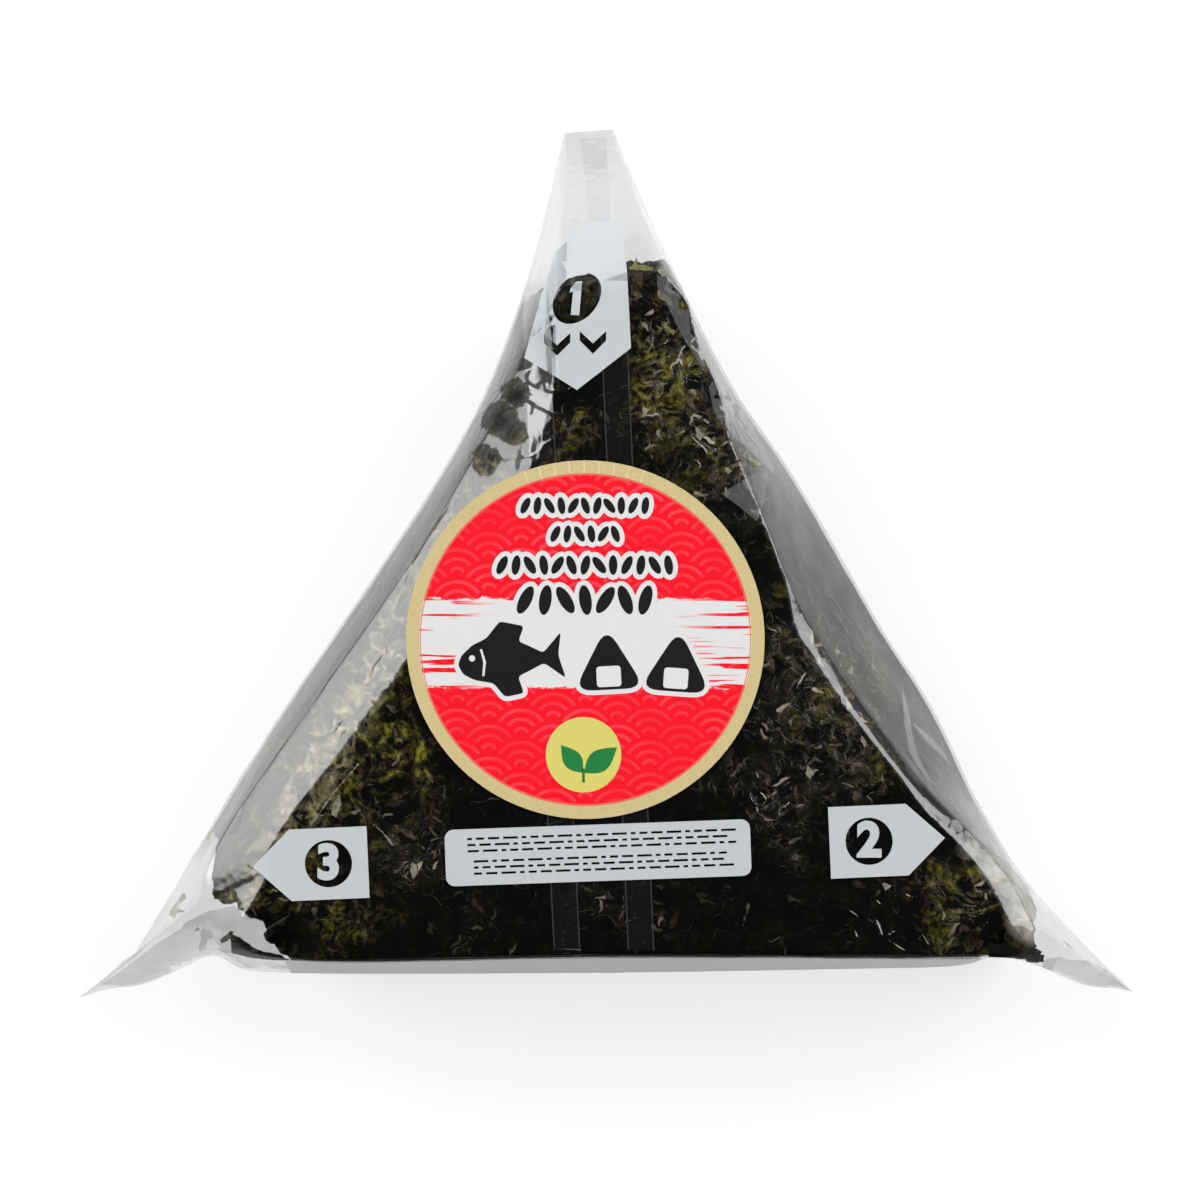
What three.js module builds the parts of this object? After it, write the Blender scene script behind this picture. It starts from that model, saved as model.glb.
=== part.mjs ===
// A triangular rice ball wrapped in seaweed and sealed in clear film, with a round paper label.
// Millimetres, +Z up. The pack lies on its flat back: +Z is the front, +Y the pull tab, -Y the base.
// The origin is under the middle of the pack, on the surface that it lies on.
import * as THREE from "three";

// Driving dimensions
const THICKNESS = 32; // back face to front face
const EDGE_ROUNDING = 3; // how far inside its crease a face starts to round over
const FILM_SEAL = 0.4; // the two films together, where the ears and the tab are sealed
const LABEL_DIAMETER = 38;
const LABEL_THICKNESS = 0.25;
const LABEL_CENTRE = [-2.2, -8.1];

// The middle of the triangular faces, and its distance to each of their sides.
const FACE_CENTRE = new THREE.Vector2(1, -16);
const FACE_INRADIUS = 25;

// The pack's outline, clockwise, as three runs between the sharp points of the tab and the two ears.
// Each pair is a point of the ball's front crease and the film's outermost point beside it.
const RIGHT_SIDE = [
  { crease: [3.6, 30.5], film: [0.8, 47.3] }, // tab, right corner
  { crease: [6.6, 26.8], film: [6.4, 34.2] },
  { crease: [12.3, 15.2], film: [14, 19] }, // shoulder
  { crease: [16.5, 5.6], film: [20.6, 9.4] },
  { crease: [21.1, -5.5], film: [27.1, -1.7] }, // pinched side
  { crease: [33.8, -23.5], film: [39.7, -24.4] },
  { crease: [42.3, -32.7], film: [46.1, -34.9] }, // root of the ear
  { crease: [45.7, -38.9], film: [57.4, -46.6] }, // tip of the ear
];
const BASE = [
  { crease: [45.7, -38.9], film: [57.4, -46.6] },
  { crease: [43.7, -41.5], film: [48.5, -44.1] },
  { crease: [38.6, -41.8], film: [40.2, -43.9] },
  { crease: [-0.7, -41.8], film: [-0.7, -44.5] }, // middle of the base
  { crease: [-36.5, -41.7], film: [-39.3, -44.4] },
  { crease: [-39.7, -39.9], film: [-45.8, -43.8] },
  { crease: [-41.4, -37], film: [-57.5, -47.2] }, // tip of the left ear
];
const LEFT_SIDE = [
  { crease: [-41.4, -37], film: [-57.5, -47.2] },
  { crease: [-40.7, -33.4], film: [-48.5, -37.1] }, // root of the ear
  { crease: [-32.5, -19.3], film: [-37.1, -18.9] },
  { crease: [-13.4, 13.6], film: [-15.2, 14.6] }, // shoulder
  { crease: [-6.7, 26.6], film: [-9, 29.8] },
  { crease: [-4.9, 29.5], film: [-4.5, 46.9] }, // tab, left corner
];
const TAB_END = [LEFT_SIDE[LEFT_SIDE.length - 1], RIGHT_SIDE[0]];
const RIBS_PER_PAIR = 6;
const RINGS_PER_HALF = 9;

// Beside its flat face the film rounds over onto the ball's side. Where it reaches further out
// than a side does, it runs straight into an ear or the tab instead.
const SIDE_REACH = 9;
const EAR_REACH = 14;
const EAR_SEAL_FROM = 0.9; // share of an ear's length where its two films meet
const EAR_CURVE = 1.25; // over 1, an ear is fuller at its root than a straight wedge

// Ribs across the pack's edge, each from its flat face to the film's outermost point.
function ribsAlong(run) {
  const curve = (key) => {
    const points = run.map((pair) => new THREE.Vector3(...pair[key], 0));
    return new THREE.CatmullRomCurve3(points, false, "centripetal");
  };
  const crease = curve("crease");
  const film = curve("film");
  const steps = (run.length - 1) * RIBS_PER_PAIR;
  return Array.from({ length: steps }, (_, step) => {
    const { x, y } = crease.getPoint(step / steps);
    const flatEnd = new THREE.Vector2(x, y).lerp(FACE_CENTRE, EDGE_ROUNDING / FACE_INRADIUS);
    return { flatEnd, filmEnd: film.getPoint(step / steps) };
  });
}

// A rib's point at a share of the way out, and its depth below the face as a share of the whole.
function ribPoint({ flatEnd, filmEnd }, share) {
  const reach = Math.hypot(filmEnd.x - flatEnd.x, filmEnd.y - flatEnd.y);
  const ear = THREE.MathUtils.smoothstep(reach, SIDE_REACH, EAR_REACH);
  const turn = (share * Math.PI) / 2;
  const out = THREE.MathUtils.lerp(Math.sin(turn), share, ear);
  const earDepth = Math.min(share / EAR_SEAL_FROM, 1) ** EAR_CURVE;
  return {
    x: THREE.MathUtils.lerp(flatEnd.x, filmEnd.x, out),
    y: THREE.MathUtils.lerp(flatEnd.y, filmEnd.y, out),
    depth: THREE.MathUtils.lerp(1 - Math.cos(turn), earDepth, ear),
  };
}

// The pack as closed rings of points, from the back face outwards and in again to the front face.
function packRings() {
  const ribs = [RIGHT_SIDE, BASE, LEFT_SIDE, TAB_END].flatMap(ribsAlong);
  const halfDepth = (THICKNESS - FILM_SEAL) / 2;
  const shares = Array.from({ length: RINGS_PER_HALF + 1 }, (_, k) => k / RINGS_PER_HALF);
  const ring = (share, isFront) =>
    ribs.map((rib) => {
      const { x, y, depth } = ribPoint(rib, share);
      return new THREE.Vector3(x, y, isFront ? THICKNESS - halfDepth * depth : halfDepth * depth);
    });
  return [
    ...shares.map((share) => ring(share, false)),
    ...shares.toReversed().map((share) => ring(share, true)),
  ];
}

// One closed skin over clockwise rings, with a flat cap on the first and on the last.
function skin(rings) {
  const count = rings[0].length;
  const lastRing = (rings.length - 1) * count;
  const points = rings.flat();
  const backCentre = points.push(new THREE.Vector3(FACE_CENTRE.x, FACE_CENTRE.y, 0)) - 1;
  const frontCentre = points.push(new THREE.Vector3(FACE_CENTRE.x, FACE_CENTRE.y, THICKNESS)) - 1;
  const faces = [];
  for (let i = 0; i < count; i++) {
    const next = (i + 1) % count;
    faces.push(backCentre, i, next);
    for (let low = 0; low < lastRing; low += count) {
      const high = low + count;
      faces.push(low + i, high + i, low + next);
      faces.push(low + next, high + i, high + next);
    }
    faces.push(frontCentre, lastRing + next, lastRing + i);
  }
  const geometry = new THREE.BufferGeometry().setFromPoints(points);
  geometry.setIndex(faces);
  return geometry;
}

// The rice ball in its seaweed and film, as one shut pack
const packMaterial = new THREE.MeshStandardMaterial({ color: 0x1b1d15, roughness: 0.2, metalness: 0 });
const pack = new THREE.Mesh(skin(packRings()), packMaterial);
pack.name = "film_pack";

// The round paper label on the middle of the front
const LABEL_SIDES = 96;
const labelRadius = LABEL_DIAMETER / 2;
const labelMaterial = new THREE.MeshStandardMaterial({ color: 0xf5213a, roughness: 0.5, metalness: 0 });
const labelShape = new THREE.CylinderGeometry(labelRadius, labelRadius, LABEL_THICKNESS, LABEL_SIDES);
const label = new THREE.Mesh(labelShape, labelMaterial);
label.name = "round_label";
label.rotation.x = Math.PI / 2;
label.position.set(...LABEL_CENTRE, THICKNESS + LABEL_THICKNESS / 2);

const onigiri = new THREE.Group();
onigiri.add(pack, label);

export default onigiri;
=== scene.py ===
"""A seaweed rice ball in its clear film pack: film, seaweed, rice, printed marks and a round label.

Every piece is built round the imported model. Sizes are in metres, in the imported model's frame: +X runs
along the base, +Y towards the pull tab and +Z out of the front face.
"""

import math

import bmesh
import bpy
from bpy.props import FloatProperty, FloatVectorProperty, PointerProperty
from mathutils import Matrix, Vector, geometry, noise
from mathutils.bvhtree import BVHTree


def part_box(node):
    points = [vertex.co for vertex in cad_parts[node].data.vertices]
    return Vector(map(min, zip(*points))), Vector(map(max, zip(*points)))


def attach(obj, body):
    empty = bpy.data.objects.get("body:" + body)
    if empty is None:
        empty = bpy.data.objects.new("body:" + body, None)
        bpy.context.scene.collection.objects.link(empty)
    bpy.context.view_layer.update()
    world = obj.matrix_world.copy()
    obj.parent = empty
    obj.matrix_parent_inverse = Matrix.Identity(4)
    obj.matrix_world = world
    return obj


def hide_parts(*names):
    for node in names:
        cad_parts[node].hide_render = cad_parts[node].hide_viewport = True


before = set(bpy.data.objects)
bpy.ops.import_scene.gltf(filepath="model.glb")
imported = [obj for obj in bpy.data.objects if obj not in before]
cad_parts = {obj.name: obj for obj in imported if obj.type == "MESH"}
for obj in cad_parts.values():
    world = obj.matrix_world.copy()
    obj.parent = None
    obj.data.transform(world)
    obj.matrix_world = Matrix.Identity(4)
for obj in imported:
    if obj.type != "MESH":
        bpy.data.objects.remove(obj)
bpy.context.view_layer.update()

bl_info = {
    "name": "Wrapped rice ball",
    "version": (1, 0, 0),
    "blender": (4, 5, 0),
    "location": "3D View > Sidebar > Rice ball",
    "description": "Builds a seaweed rice ball in its clear film pack, with its label and printed marks",
    "category": "Object",
}

MM = 0.001
PACK_LOW, PACK_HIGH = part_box("film_pack")
LABEL_LOW, LABEL_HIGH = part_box("round_label")
LABEL_CENTRE = (LABEL_LOW + LABEL_HIGH) / 2
LABEL_RADIUS = (LABEL_HIGH.x - LABEL_LOW.x) / 2
FRONT = PACK_HIGH.z
MIDDLE = FRONT / 2


def smooth(low, high, value):
    """0 below low, 1 above high, and an S-shaped rise between."""
    share = min(max((value - low) / (high - low), 0), 1)
    return share * share * (3 - 2 * share)


# ---------------------------------------------------------------- settings


class FilmSettings(bpy.types.PropertyGroup):
    """The clear film round the pack."""

    ripple: FloatProperty(
        name="Ripple",
        description="Height of the soft ripples on the faces",
        default=0.07 * MM,
        unit="LENGTH",
    )
    crease: FloatProperty(
        name="Crease",
        description="Depth of the creases in the ears and the tab",
        default=0.5 * MM,
        unit="LENGTH",
    )
    dent: FloatProperty(
        name="Dent",
        description="Depth of the dents in the faces",
        default=0.25 * MM,
        unit="LENGTH",
    )
    haze: FloatProperty(
        name="Haze",
        description="Share of light that the film scatters",
        default=0.0,
        subtype="FACTOR",
    )
    tint: FloatVectorProperty(
        name="Tint",
        description="Colour of light through one layer of film",
        default=(0.84, 0.843, 0.85),
        subtype="COLOR",
    )


class SeaweedSettings(bpy.types.PropertyGroup):
    """The sheet of seaweed round the rice."""

    clearance: FloatProperty(
        name="Clearance",
        description="Gap between the seaweed and the film",
        default=0.3 * MM,
        unit="LENGTH",
    )
    crag: FloatProperty(
        name="Crag",
        description="Height of the crags in the sheet",
        default=0.12 * MM,
        unit="LENGTH",
    )
    dark: FloatVectorProperty(
        name="Dark",
        description="Colour of the pressed sheet where it is thick",
        default=(0.0016, 0.0015, 0.0012),
        subtype="COLOR",
    )
    olive: FloatVectorProperty(
        name="Olive",
        description="Colour of the sheet where it is thin",
        default=(0.25, 0.22, 0.018),
        subtype="COLOR",
    )
    brown: FloatVectorProperty(
        name="Brown",
        description="Colour of the browner blotches",
        default=(0.075, 0.045, 0.014),
        subtype="COLOR",
    )
    # Also the colour of the painted highlights on the edges of leaves and on the short flakes.
    fibre: FloatVectorProperty(
        name="Fibre",
        description="Colour of the pale fibres",
        default=(0.72, 0.65, 0.47),
        subtype="COLOR",
    )


class RiceSettings(bpy.types.PropertyGroup):
    """The pressed rice inside the seaweed."""

    inset: FloatProperty(
        name="Inset",
        description="Depth of the rice below the seaweed's face",
        default=0.7 * MM,
        unit="LENGTH",
    )
    grain: FloatVectorProperty(
        name="Grain",
        description="Colour of the cooked rice",
        default=(0.62, 0.62, 0.6),
        subtype="COLOR",
    )


class PrintSettings(bpy.types.PropertyGroup):
    """The opaque ink printed on the film."""

    thickness: FloatProperty(
        name="Thickness",
        description="Thickness of the ink",
        default=0.03 * MM,
        unit="LENGTH",
    )
    ink: FloatVectorProperty(
        name="Ink",
        description="Colour of the white ink",
        default=(0.722, 0.76, 0.778),
        subtype="COLOR",
    )


class LabelSettings(bpy.types.PropertyGroup):
    """The round paper label."""

    ring: FloatProperty(
        name="Ring",
        description="Width of the gold ring",
        default=1.38 * MM,
        unit="LENGTH",
    )
    gold: FloatVectorProperty(
        name="Gold",
        description="Colour of the ring",
        default=(0.72, 0.59, 0.29),
        subtype="COLOR",
    )
    red: FloatVectorProperty(
        name="Red",
        description="Colour of the field",
        default=(0.98, 0.003, 0.018),
        subtype="COLOR",
    )
    light_red: FloatVectorProperty(
        name="Light red",
        description="Colour of the waves in the field",
        default=(0.97, 0.08, 0.11),
        subtype="COLOR",
    )
    white: FloatVectorProperty(
        name="White",
        description="Colour of the band",
        default=(0.8, 0.79, 0.79),
        subtype="COLOR",
    )


class StageSettings(bpy.types.PropertyGroup):
    """Floor, lights and camera."""

    camera_height: FloatProperty(
        name="Camera height",
        description="Height of the camera above the front face",
        default=0.6,
        unit="LENGTH",
    )
    view_width: FloatProperty(
        name="View width",
        description="Width that the camera sees at the height of the front face",
        default=127.2 * MM,
        unit="LENGTH",
    )
    softbox: FloatProperty(
        name="Softbox",
        description="Brightness of the softboxes",
        default=4.7,
        min=0,
    )
    floor: FloatVectorProperty(
        name="Floor",
        description="Colour of the floor",
        default=(0.36, 0.36, 0.36),
        subtype="COLOR",
    )
    floor_glow: FloatProperty(
        name="Floor glow",
        description="Light that comes up through the floor, as from a light table",
        default=0.74,
        min=0,
    )


SETTINGS = {
    "film": FilmSettings,
    "seaweed": SeaweedSettings,
    "rice": RiceSettings,
    "print": PrintSettings,
    "label": LabelSettings,
    "stage": StageSettings,
}


def settings(context, group):
    """One group of settings, as the scene holds it."""
    return getattr(context.scene, f"riceball_{group}")


# ---------------------------------------------------------------- materials


class Value:
    """A socket of a material, so that sums of sockets are written as Python sums."""

    def __init__(self, surface, socket):
        self.surface = surface
        self.socket = socket

    def math(self, operation, *others):
        return self.surface.node("ShaderNodeMath", {"operation": operation}, self, *others)

    def reflected(self, operation, other):
        return self.surface.node("ShaderNodeMath", {"operation": operation}, other, self)

    def __add__(self, other):
        return self.math("ADD", other)

    def __sub__(self, other):
        return self.math("SUBTRACT", other)

    def __mul__(self, other):
        return self.math("MULTIPLY", other)

    def __truediv__(self, other):
        return self.math("DIVIDE", other)

    def __pow__(self, other):
        return self.math("POWER", other)

    def __rsub__(self, other):
        return self.reflected("SUBTRACT", other)

    def __rtruediv__(self, other):
        return self.reflected("DIVIDE", other)

    __radd__ = __add__
    __rmul__ = __mul__

    def above(self, edge, softness=0.0):
        """1 where the value is over the edge and 0 below it, with a soft step if asked for."""
        if not softness:
            return self.math("GREATER_THAN", edge)
        low, high = edge - softness, edge + softness
        return self.surface.node("ShaderNodeMapRange", {}, self, low, high, 0.0, 1.0)

    def crest(self, middle, width):
        """1 where the value is at the middle, falling off to 0 at the width on both sides."""
        share = 1 - ((self - middle).math("ABSOLUTE") / width).clamped()
        return share * share

    def clamped(self):
        return self.surface.node("ShaderNodeClamp", {}, self, 0.0, 1.0)


class Surface:
    """A material under construction, or a world."""

    def __init__(self, name, kind=bpy.data.materials, output="ShaderNodeOutputMaterial"):
        self.owner = kind.new(name)
        self.owner.use_nodes = True
        self.tree = self.owner.node_tree
        self.tree.nodes.clear()
        self.output = output

    def add(self, kind, options, inputs):
        """A new node: its options are set first, then its sockets, by place or by name."""
        made = self.tree.nodes.new(kind)
        for key, option in options.items():
            if key == "stops":
                self.set_stops(made.color_ramp, option)
            else:
                setattr(made, key, option)
        for key, given in inputs.items():
            if isinstance(given, Value):
                self.tree.links.new(given.socket, made.inputs[key])
            else:
                made.inputs[key].default_value = given
        return made

    def node(self, kind, options, *inputs, output=0, **named):
        """The output of a new node, from sockets given by place and by name (with _ for a space)."""
        sockets = dict(enumerate(inputs))
        sockets.update({key.replace("_", " "): given for key, given in named.items()})
        return Value(self, self.add(kind, options, sockets).outputs[output])

    @staticmethod
    def set_stops(ramp, stops):
        while len(ramp.elements) > 1:
            ramp.elements.remove(ramp.elements[-1])
        ramp.elements[0].position = stops[0][0]
        ramp.elements[0].color = stops[0][1]
        for position, colour in stops[1:]:
            ramp.elements.new(position).color = colour

    def place(self, centre=(0, 0, 0), scale=(1, 1, 1)):
        """Object coordinates measured from a centre and scaled."""
        coordinates = self.node("ShaderNodeTexCoord", {}, output="Object")
        moved = self.vector("SUBTRACT", coordinates, centre)
        return self.node("ShaderNodeMapping", {}, moved, Scale=scale)

    def vector(self, operation, *vectors, output=0):
        return self.node("ShaderNodeVectorMath", {"operation": operation}, *vectors, output=output)

    def parts(self, vector):
        """The x, y and z of a vector."""
        made = self.add("ShaderNodeSeparateXYZ", {}, {0: vector})
        return [Value(self, socket) for socket in made.outputs]

    def noise(self, where, size, detail=4.0, roughness=0.55, distortion=0.0):
        """Smooth noise round 0.5, with features of about the given size in metres."""
        return self.node(
            "ShaderNodeTexNoise",
            {},
            Vector=where,
            Scale=1 / size,
            Detail=detail,
            Roughness=roughness,
            Distortion=distortion,
        )

    def cells(self, where, size, feature="F1"):
        """The distance from the middles of scattered cells, or from their edges."""
        return self.node("ShaderNodeTexVoronoi", {"feature": feature}, Vector=where, Scale=1 / size)

    def ridges(self, where, size, width, detail=2.0):
        """Thin crests that wander along the middle level of a noise: 1 on the crest and 0 beside it."""
        return self.noise(where, size, detail).crest(0.5, width)

    def flakes(self, where, cell, length, width, bend=0.0):
        """Tapered flakes, one to a cell and each turned its own way, and how strong each one is."""
        made = self.add("ShaderNodeTexVoronoi", {}, {"Vector": where, "Scale": 1 / cell})
        hub = Value(self, made.outputs["Position"])
        turn, curl, chance = self.parts(Value(self, made.outputs["Color"]))
        arm = self.node(
            "ShaderNodeVectorRotate",
            {"rotation_type": "Z_AXIS"},
            Vector=self.vector("SUBTRACT", where, hub),
            Angle=turn * (2 * math.pi),
        )
        along, across, up = self.parts(arm)
        along = along / length
        across = across / width + along * along * (curl - 0.5) * bend
        up = up / length
        inside = 1 - (along * along + across * across + up * up)
        return (inside * 2.5).clamped(), chance

    def spots(self, where, places):
        """Round spots, each as x, y and radius in millimetres and its share: 0 outside all of them."""
        total = None
        for x, y, radius, share in places:
            distance = self.vector("DISTANCE", where, (x * MM, y * MM, 0), output="Value")
            spot = (1 - distance.above(0.75 * radius * MM, 0.5 * radius * MM)) * share
            total = spot if total is None else total.math("MAXIMUM", spot)
        return total

    def mix(self, share, first, second):
        """A colour between two colours."""
        made = self.add(
            "ShaderNodeMix",
            {"data_type": "RGBA"},
            {0: share, 6: self.rgba(first), 7: self.rgba(second)},
        )
        return Value(self, made.outputs[2])

    @staticmethod
    def rgba(colour):
        return colour if isinstance(colour, Value) else (*colour, 1.0)

    def bump(self, height, distance, strength=1.0):
        return self.node("ShaderNodeBump", {}, Height=height, Distance=distance, Strength=strength)

    def principled(self, **named):
        return self.node("ShaderNodeBsdfPrincipled", {}, **named)

    def blend(self, share, first, second):
        """A shader between two shaders."""
        return self.node("ShaderNodeMixShader", {}, share, first, second)

    def finish(self, shader):
        self.add(self.output, {}, {"Surface": shader})
        return self.owner


SURFACE_REFLECTANCE = 0.032  # of each face of the film, seen straight on
GRAZING_REFLECTANCE = 0.42  # what is added to it, seen from the side
SIDE_SHEEN = 0.25  # painted sheen: how milky the film's sides are where their ripples are high
SHADE_SPOT_SHARE = 0.92  # of the reflection that is taken away in the painted shade spots
SHADOW_SHARE = 0.93  # of its tint, which is the light that the film lets through into its shadow
SIDE_SHEEN_TOP = 27.5 * MM  # the faces above it are clear
# Where the film is crumpled: x, y and radius in millimetres, and how much.
CRUMPLES = [
    (-9.5, 17.0, 6.0, 0.6), (9.5, 22.0, 6.0, 0.6), (12.5, 13.0, 5.0, 0.6), (14.0, 8.0, 4.5, 0.3),
    (20.5, -14.0, 7.0, 0.35), (18.0, -25.0, 6.0, 0.35), (30.0, -37.5, 5.5, 0.5), (-21.0, -31.5, 4.0, 0.5),
]
# Painted shade: spots where most of the film's reflection is taken away and the seaweed is dull,
# giving dark holes in its highlights and dark corners: x, y and radius in millimetres, and how much.
SHADE_SPOTS = [
    (-9.6, 18.2, 2.2, 0.9), (-11.4, 15.4, 2.6, 1.0), (-9.9, 13.9, 2.2, 0.9), (-12.7, 11.0, 2.4, 0.9),
    (-38.4, -40.6, 3.4, 1.3), (-35.2, -41.6, 2.6, 1.3), (-40.5, -36.9, 3.0, 0.9), (-35.4, -39.2, 3.2, 1.1),
    (43.2, -41.3, 3.6, 1.3), (45.8, -42.0, 3.0, 1.3),
]


def film_finish(film, name="clear_film", haze=None, tint=None, shine=1.0):
    """Thin clear film: light passes straight through, and both of its faces reflect."""
    surface = Surface(name)
    tint = tint or film.tint
    where = surface.place()
    ripples = surface.noise(where, 5 * MM, detail=3)
    crumpled = surface.noise(where, 13 * MM, detail=0).above(0.5, 0.1) * 0.2
    crumpled = crumpled + surface.spots(surface.place(scale=(1, 1, 0)), CRUMPLES)
    wrinkles = surface.ridges(where, 3.2 * MM, 0.1, 1) * crumpled
    normal = surface.bump(ripples * 0.13 + wrinkles * 0.13, 1 * MM)
    facing = surface.node("ShaderNodeLayerWeight", {}, Blend=0.5, Normal=normal, output="Facing")
    one_face = facing**5.0 * GRAZING_REFLECTANCE + SURFACE_REFLECTANCE
    both_faces = one_face * (2.0 * shine) / (one_face + 1.0)
    # Painted shade: in these spots most of the reflection is taken away.
    painted_shade = surface.spots(surface.place(scale=(1, 1, 0)), SHADE_SPOTS)
    torn = surface.noise(where, 1.7 * MM, detail=4, roughness=0.7, distortion=0.8)
    painted_shade = (painted_shade - torn * 0.9).above(0.05, 0.03)
    both_faces = both_faces * (1 - painted_shade * SHADE_SPOT_SHARE)
    clear = surface.node("ShaderNodeBsdfTransparent", {}, Color=(*tint, 1))
    gloss = surface.node("ShaderNodeBsdfGlossy", {}, Color=(1, 1, 1, 1), Roughness=0.12, Normal=normal)
    milky = surface.node("ShaderNodeBsdfDiffuse", {}, Color=(0.8, 0.8, 0.8, 1))
    # Painted sheen: the sides turn milky where their ripples are high.
    _, _, z = surface.parts(where)
    side_sheen = (ripples - 0.44).clamped() * (1 - z.above(SIDE_SHEEN_TOP, 2 * MM)) * (1 - painted_shade) * SIDE_SHEEN
    hazy = surface.blend(side_sheen + (film.haze if haze is None else haze), clear, milky)
    full = surface.blend(both_faces, hazy, gloss)
    # Shadows pass through plain film: it lets through as much light, and is quicker.
    shadow = surface.node("ShaderNodeLightPath", {}, output="Is Shadow Ray")
    shade = [SHADOW_SHARE * part for part in tint]
    plain = surface.node("ShaderNodeBsdfTransparent", {}, Color=(*shade, 1))
    return surface.finish(surface.blend(shadow, full, plain))


# Where the sheet is thin enough to look olive, and where it is crinkled: x, y and radius in
# millimetres, and how much.
OLIVE_SPOTS = [
    (-27.2, -19.0, 8.5, 1.0), (-20.8, -20.9, 4.5, 0.9), (-33.0, -26.0, 5.0, 0.8),
    (5.8, 24.5, 5.0, 0.9), (6.4, 17.5, 5.5, 1.0), (-3.3, 14.1, 3.4, 0.8), (12.5, 12.0, 5.0, 0.4),
    (-38.5, -34.5, 5.5, 0.9), (-29.0, -38.5, 5.5, 0.6), (40.5, -34.5, 6.5, 0.8),
    (26.5, -14.0, 6.5, 0.3), (29.0, -20.9, 3.0, 0.6), (19.5, -8.0, 4.5, 0.25), (-11.0, 10.5, 3.5, 0.7),
]
CRINKLED_SPOTS = [
    (22.7, -14.5, 10.0, 1.0), (9.0, 17.3, 8.0, 1.0), (13.1, 9.0, 7.0, 0.9), (-21.0, -30.0, 5.5, 0.9),
    (-28.2, -23.0, 7.0, 0.5), (18.5, -24.5, 7.0, 0.8), (40.2, -35.7, 7.0, 0.8),
    (-36.0, -34.0, 6.0, 0.5), (28.0, -36.0, 4.5, 0.35), (5.5, 27.0, 4.5, 0.7), (-4.5, 11.5, 5.0, 0.6),
    (-13.0, -36.0, 4.0, 0.3), (3.0, -36.0, 4.0, 0.35),
]
# Painted highlight: the pale, cracked strip lit at the right corner, as x, y and radius in millimetres and
# how much.
CORNER_HIGHLIGHT_SPOTS = [
    (38.8, -29.4, 1.5, 0.35), (41.4, -31.9, 1.8, 0.5), (43.9, -34.8, 2.2, 0.6), (44.4, -37.8, 2.3, 0.65),
    (44.9, -39.0, 1.5, 0.6),
]
LEFT_CREASE = (-0.875, 0.484, 18.3)  # the line along it: a x + b y = c, in millimetres
SEAWEED_GLOSS = (0.05, 0.45)  # specular levels of the sheet: on the sides and in the painted shade spots, and on the face


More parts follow.
